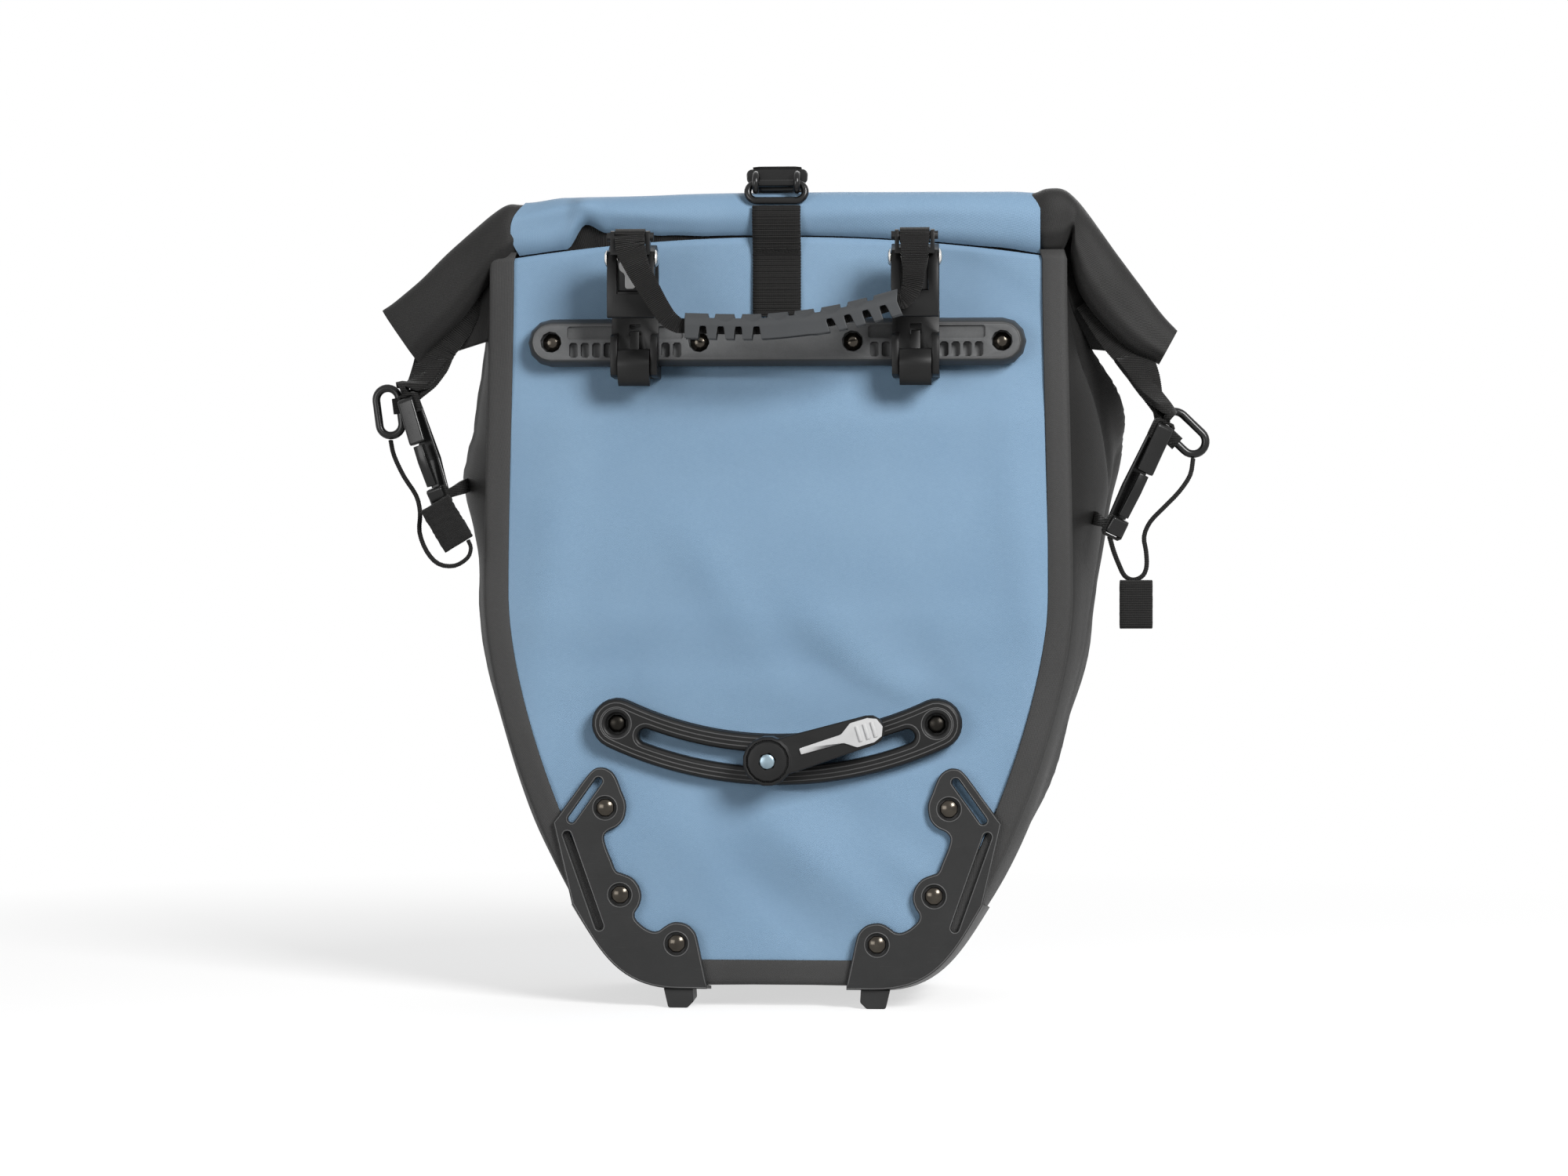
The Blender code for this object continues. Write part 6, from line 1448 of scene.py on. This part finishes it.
stitchUser = {
    # the closure strap's bar tack: its height, half its width, how tall its zigzag is and its pitch
    "tack": (391.5, 12.2, 1.6, 0.8), "tackFace": -2.75, "rowFace": -2.7, "rowDrop": 2.2, "spacing": 0.95,
    "size": (1.1, 0.34, 0.34),
    # the cap's knurls: spacing, radius, height over the cap's face and size
    "knurls": (1.05, 10.35, 1.1, (0.5, 0.5, 1.5)), "knurlTurns": 72,
}


def zigzag(start, end, height, pitch, lift):  # a line that swings up and down between two points
    count = max(2, round((end - start).length / pitch))
    return [start.lerp(end, k / count) + lift * (height / 2 * (-1) ** k) for k in range(count + 1)]


def makeStitches(user):
    z, half, tall, pitch = user["tack"]
    ends = [Vector((x, user["tackFace"], z)) for x in (-half, half)]
    lines = [zigzag(*ends, tall, pitch, Vector((0, 0.1, 1))),
             [Vector((x, user["rowFace"], z - user["rowDrop"])) for x in (-half, half)]]
    repeatAlong("strapStitches", lines, user["spacing"], user["size"], "thread", "bag")
    spacing, radius, rise, size = user["knurls"]
    cap = ownPlace("pivot_cap")
    y = (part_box("pivot_cap")[0].y - home.y) / mm + rise
    ring = [Vector((cap.x + radius * math.cos(a), y, cap.z + radius * math.sin(a)))
            for a in turnsOf(user["knurlTurns"])]
    repeatAlong("capKnurls", [[*ring, ring[0]]], spacing, size, "plastic", "carriage")


makeStitches(stitchUser)
print("stitches made")


# mouldings and metal keep their solids, with softened edges
hardUser = {"bevel": 0.35, "segments": 2, "angle": 32, "weld": 0.01}
hardFinishes = {
    "rail": ["upper_rail"],
    "plastic": ["anchor_arm", "slot_slider", "pivot_cap"],
    "pad": ["arm_pad"],
    # the screws deep in the curved rail's bores take the darker metal, painted shade
    "shadedMetal": ["arc_screw_1", "arc_screw_2"],
    "nickel": [f"rail_screw_{n}" for n in (1, 2, 3, 4)],
    "zinc": ["pivot_bolt"],
    "board": ["stiffener_board"],
    "gloss": [], "steel": [],
}
for side, _ in bothSides:
    hardFinishes["plastic"] += [f"{name}_{side}" for name in ("rack_hook", "latch", "clamp_lever")]
    hardFinishes["gloss"].append(f"snap_gate_{side}")
    hardFinishes["pad"].append(f"latch_pad_{side}")
    hardFinishes["steel"].append(f"latch_rivet_{side}")
    hardFinishes["nickel"] += [f"guard_screw_{side}_{n}" for n in (1, 2, 3)]


def dressNode(name, finish, user):
    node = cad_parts[name]
    node.data.materials.clear()
    node.data.materials.append(finishes[finish])
    weld = node.modifiers.new("weld", "WELD")
    weld.merge_threshold = user["weld"] * mm
    bevel = node.modifiers.new("edges", "BEVEL")
    bevel.width = user["bevel"] * mm
    bevel.segments = user["segments"]
    bevel.limit_method = "ANGLE"
    bevel.angle_limit = math.radians(user["angle"])
    node.data.shade_smooth()


for finish, names in hardFinishes.items():
    for name in names:
        dressNode(name, finish, hardUser)
print("mouldings dressed")


stageUser = {
    "floor": 8.0, "world": 0.15, "aim": (0, 0, 0.2),
    # the paper's reach round the bag, its own colour there, and the white it fades to beyond
    "paperNear": 0.35, "paperFar": 0.85, "paperColour": 0.5, "paperGlow": 0.62,
    # each lamp: place, size and power
    "lamps": {"key": ((1.05, -1.5, 1.15), 0.7, 47), "fill": ((-1.3, -1.8, 0.3), 1.2, 20),
              "back": ((0.2, 1.7, 1.5), 1.4, 12)},
}


def makeStage(user):
    half = user["floor"]
    mesh = bpy.data.meshes.new("floor")
    corners = [(x * half, y * half, 0) for x, y in ((-1, -1), (1, -1), (1, 1), (-1, 1))]
    mesh.from_pydata(corners, [], [(0, 1, 2, 3)])
    floor = newObject("floor", mesh)
    paper = Finish("paper", 0.9, Specular_IOR_Level=0.0, Emission_Strength=1.0)
    reach = paper.node("ShaderNodeVectorMath", {"operation": "LENGTH"}, out="Value", _0=paper.place())
    far = ((reach - user["paperNear"]) * (1 / (user["paperFar"] - user["paperNear"]))).clamped()
    paper.feed("Base Color", paper.tint(grey(user["paperColour"]), grey(0), far))
    glow = far * (1 - user["paperGlow"]) + user["paperGlow"]
    paper.feed("Emission Color", paper.tint(grey(0), grey(1), glow * paper.seenRays()))
    mesh.materials.append(paper.material)
    world = bpy.data.worlds.new("studio")
    bpy.context.scene.world = world
    world.use_nodes = True
    sky = world.node_tree.nodes["Background"]
    sky.inputs["Color"].default_value = (1, 1, 1, 1)
    light = Tree(world.node_tree).seenRays() * (1 - user["world"]) + user["world"]
    world.node_tree.links.new(light.socket, sky.inputs["Strength"])
    for name, (place, size, power) in user["lamps"].items():
        lamp = bpy.data.lights.new(name, "AREA")
        lamp.energy = power
        lamp.size = size
        made = newObject(name, lamp)
        made.location = place
        aimAlong(made, Vector(user["aim"]) - Vector(place))


makeStage(stageUser)
bpy.context.scene.view_settings.view_transform = "Standard"
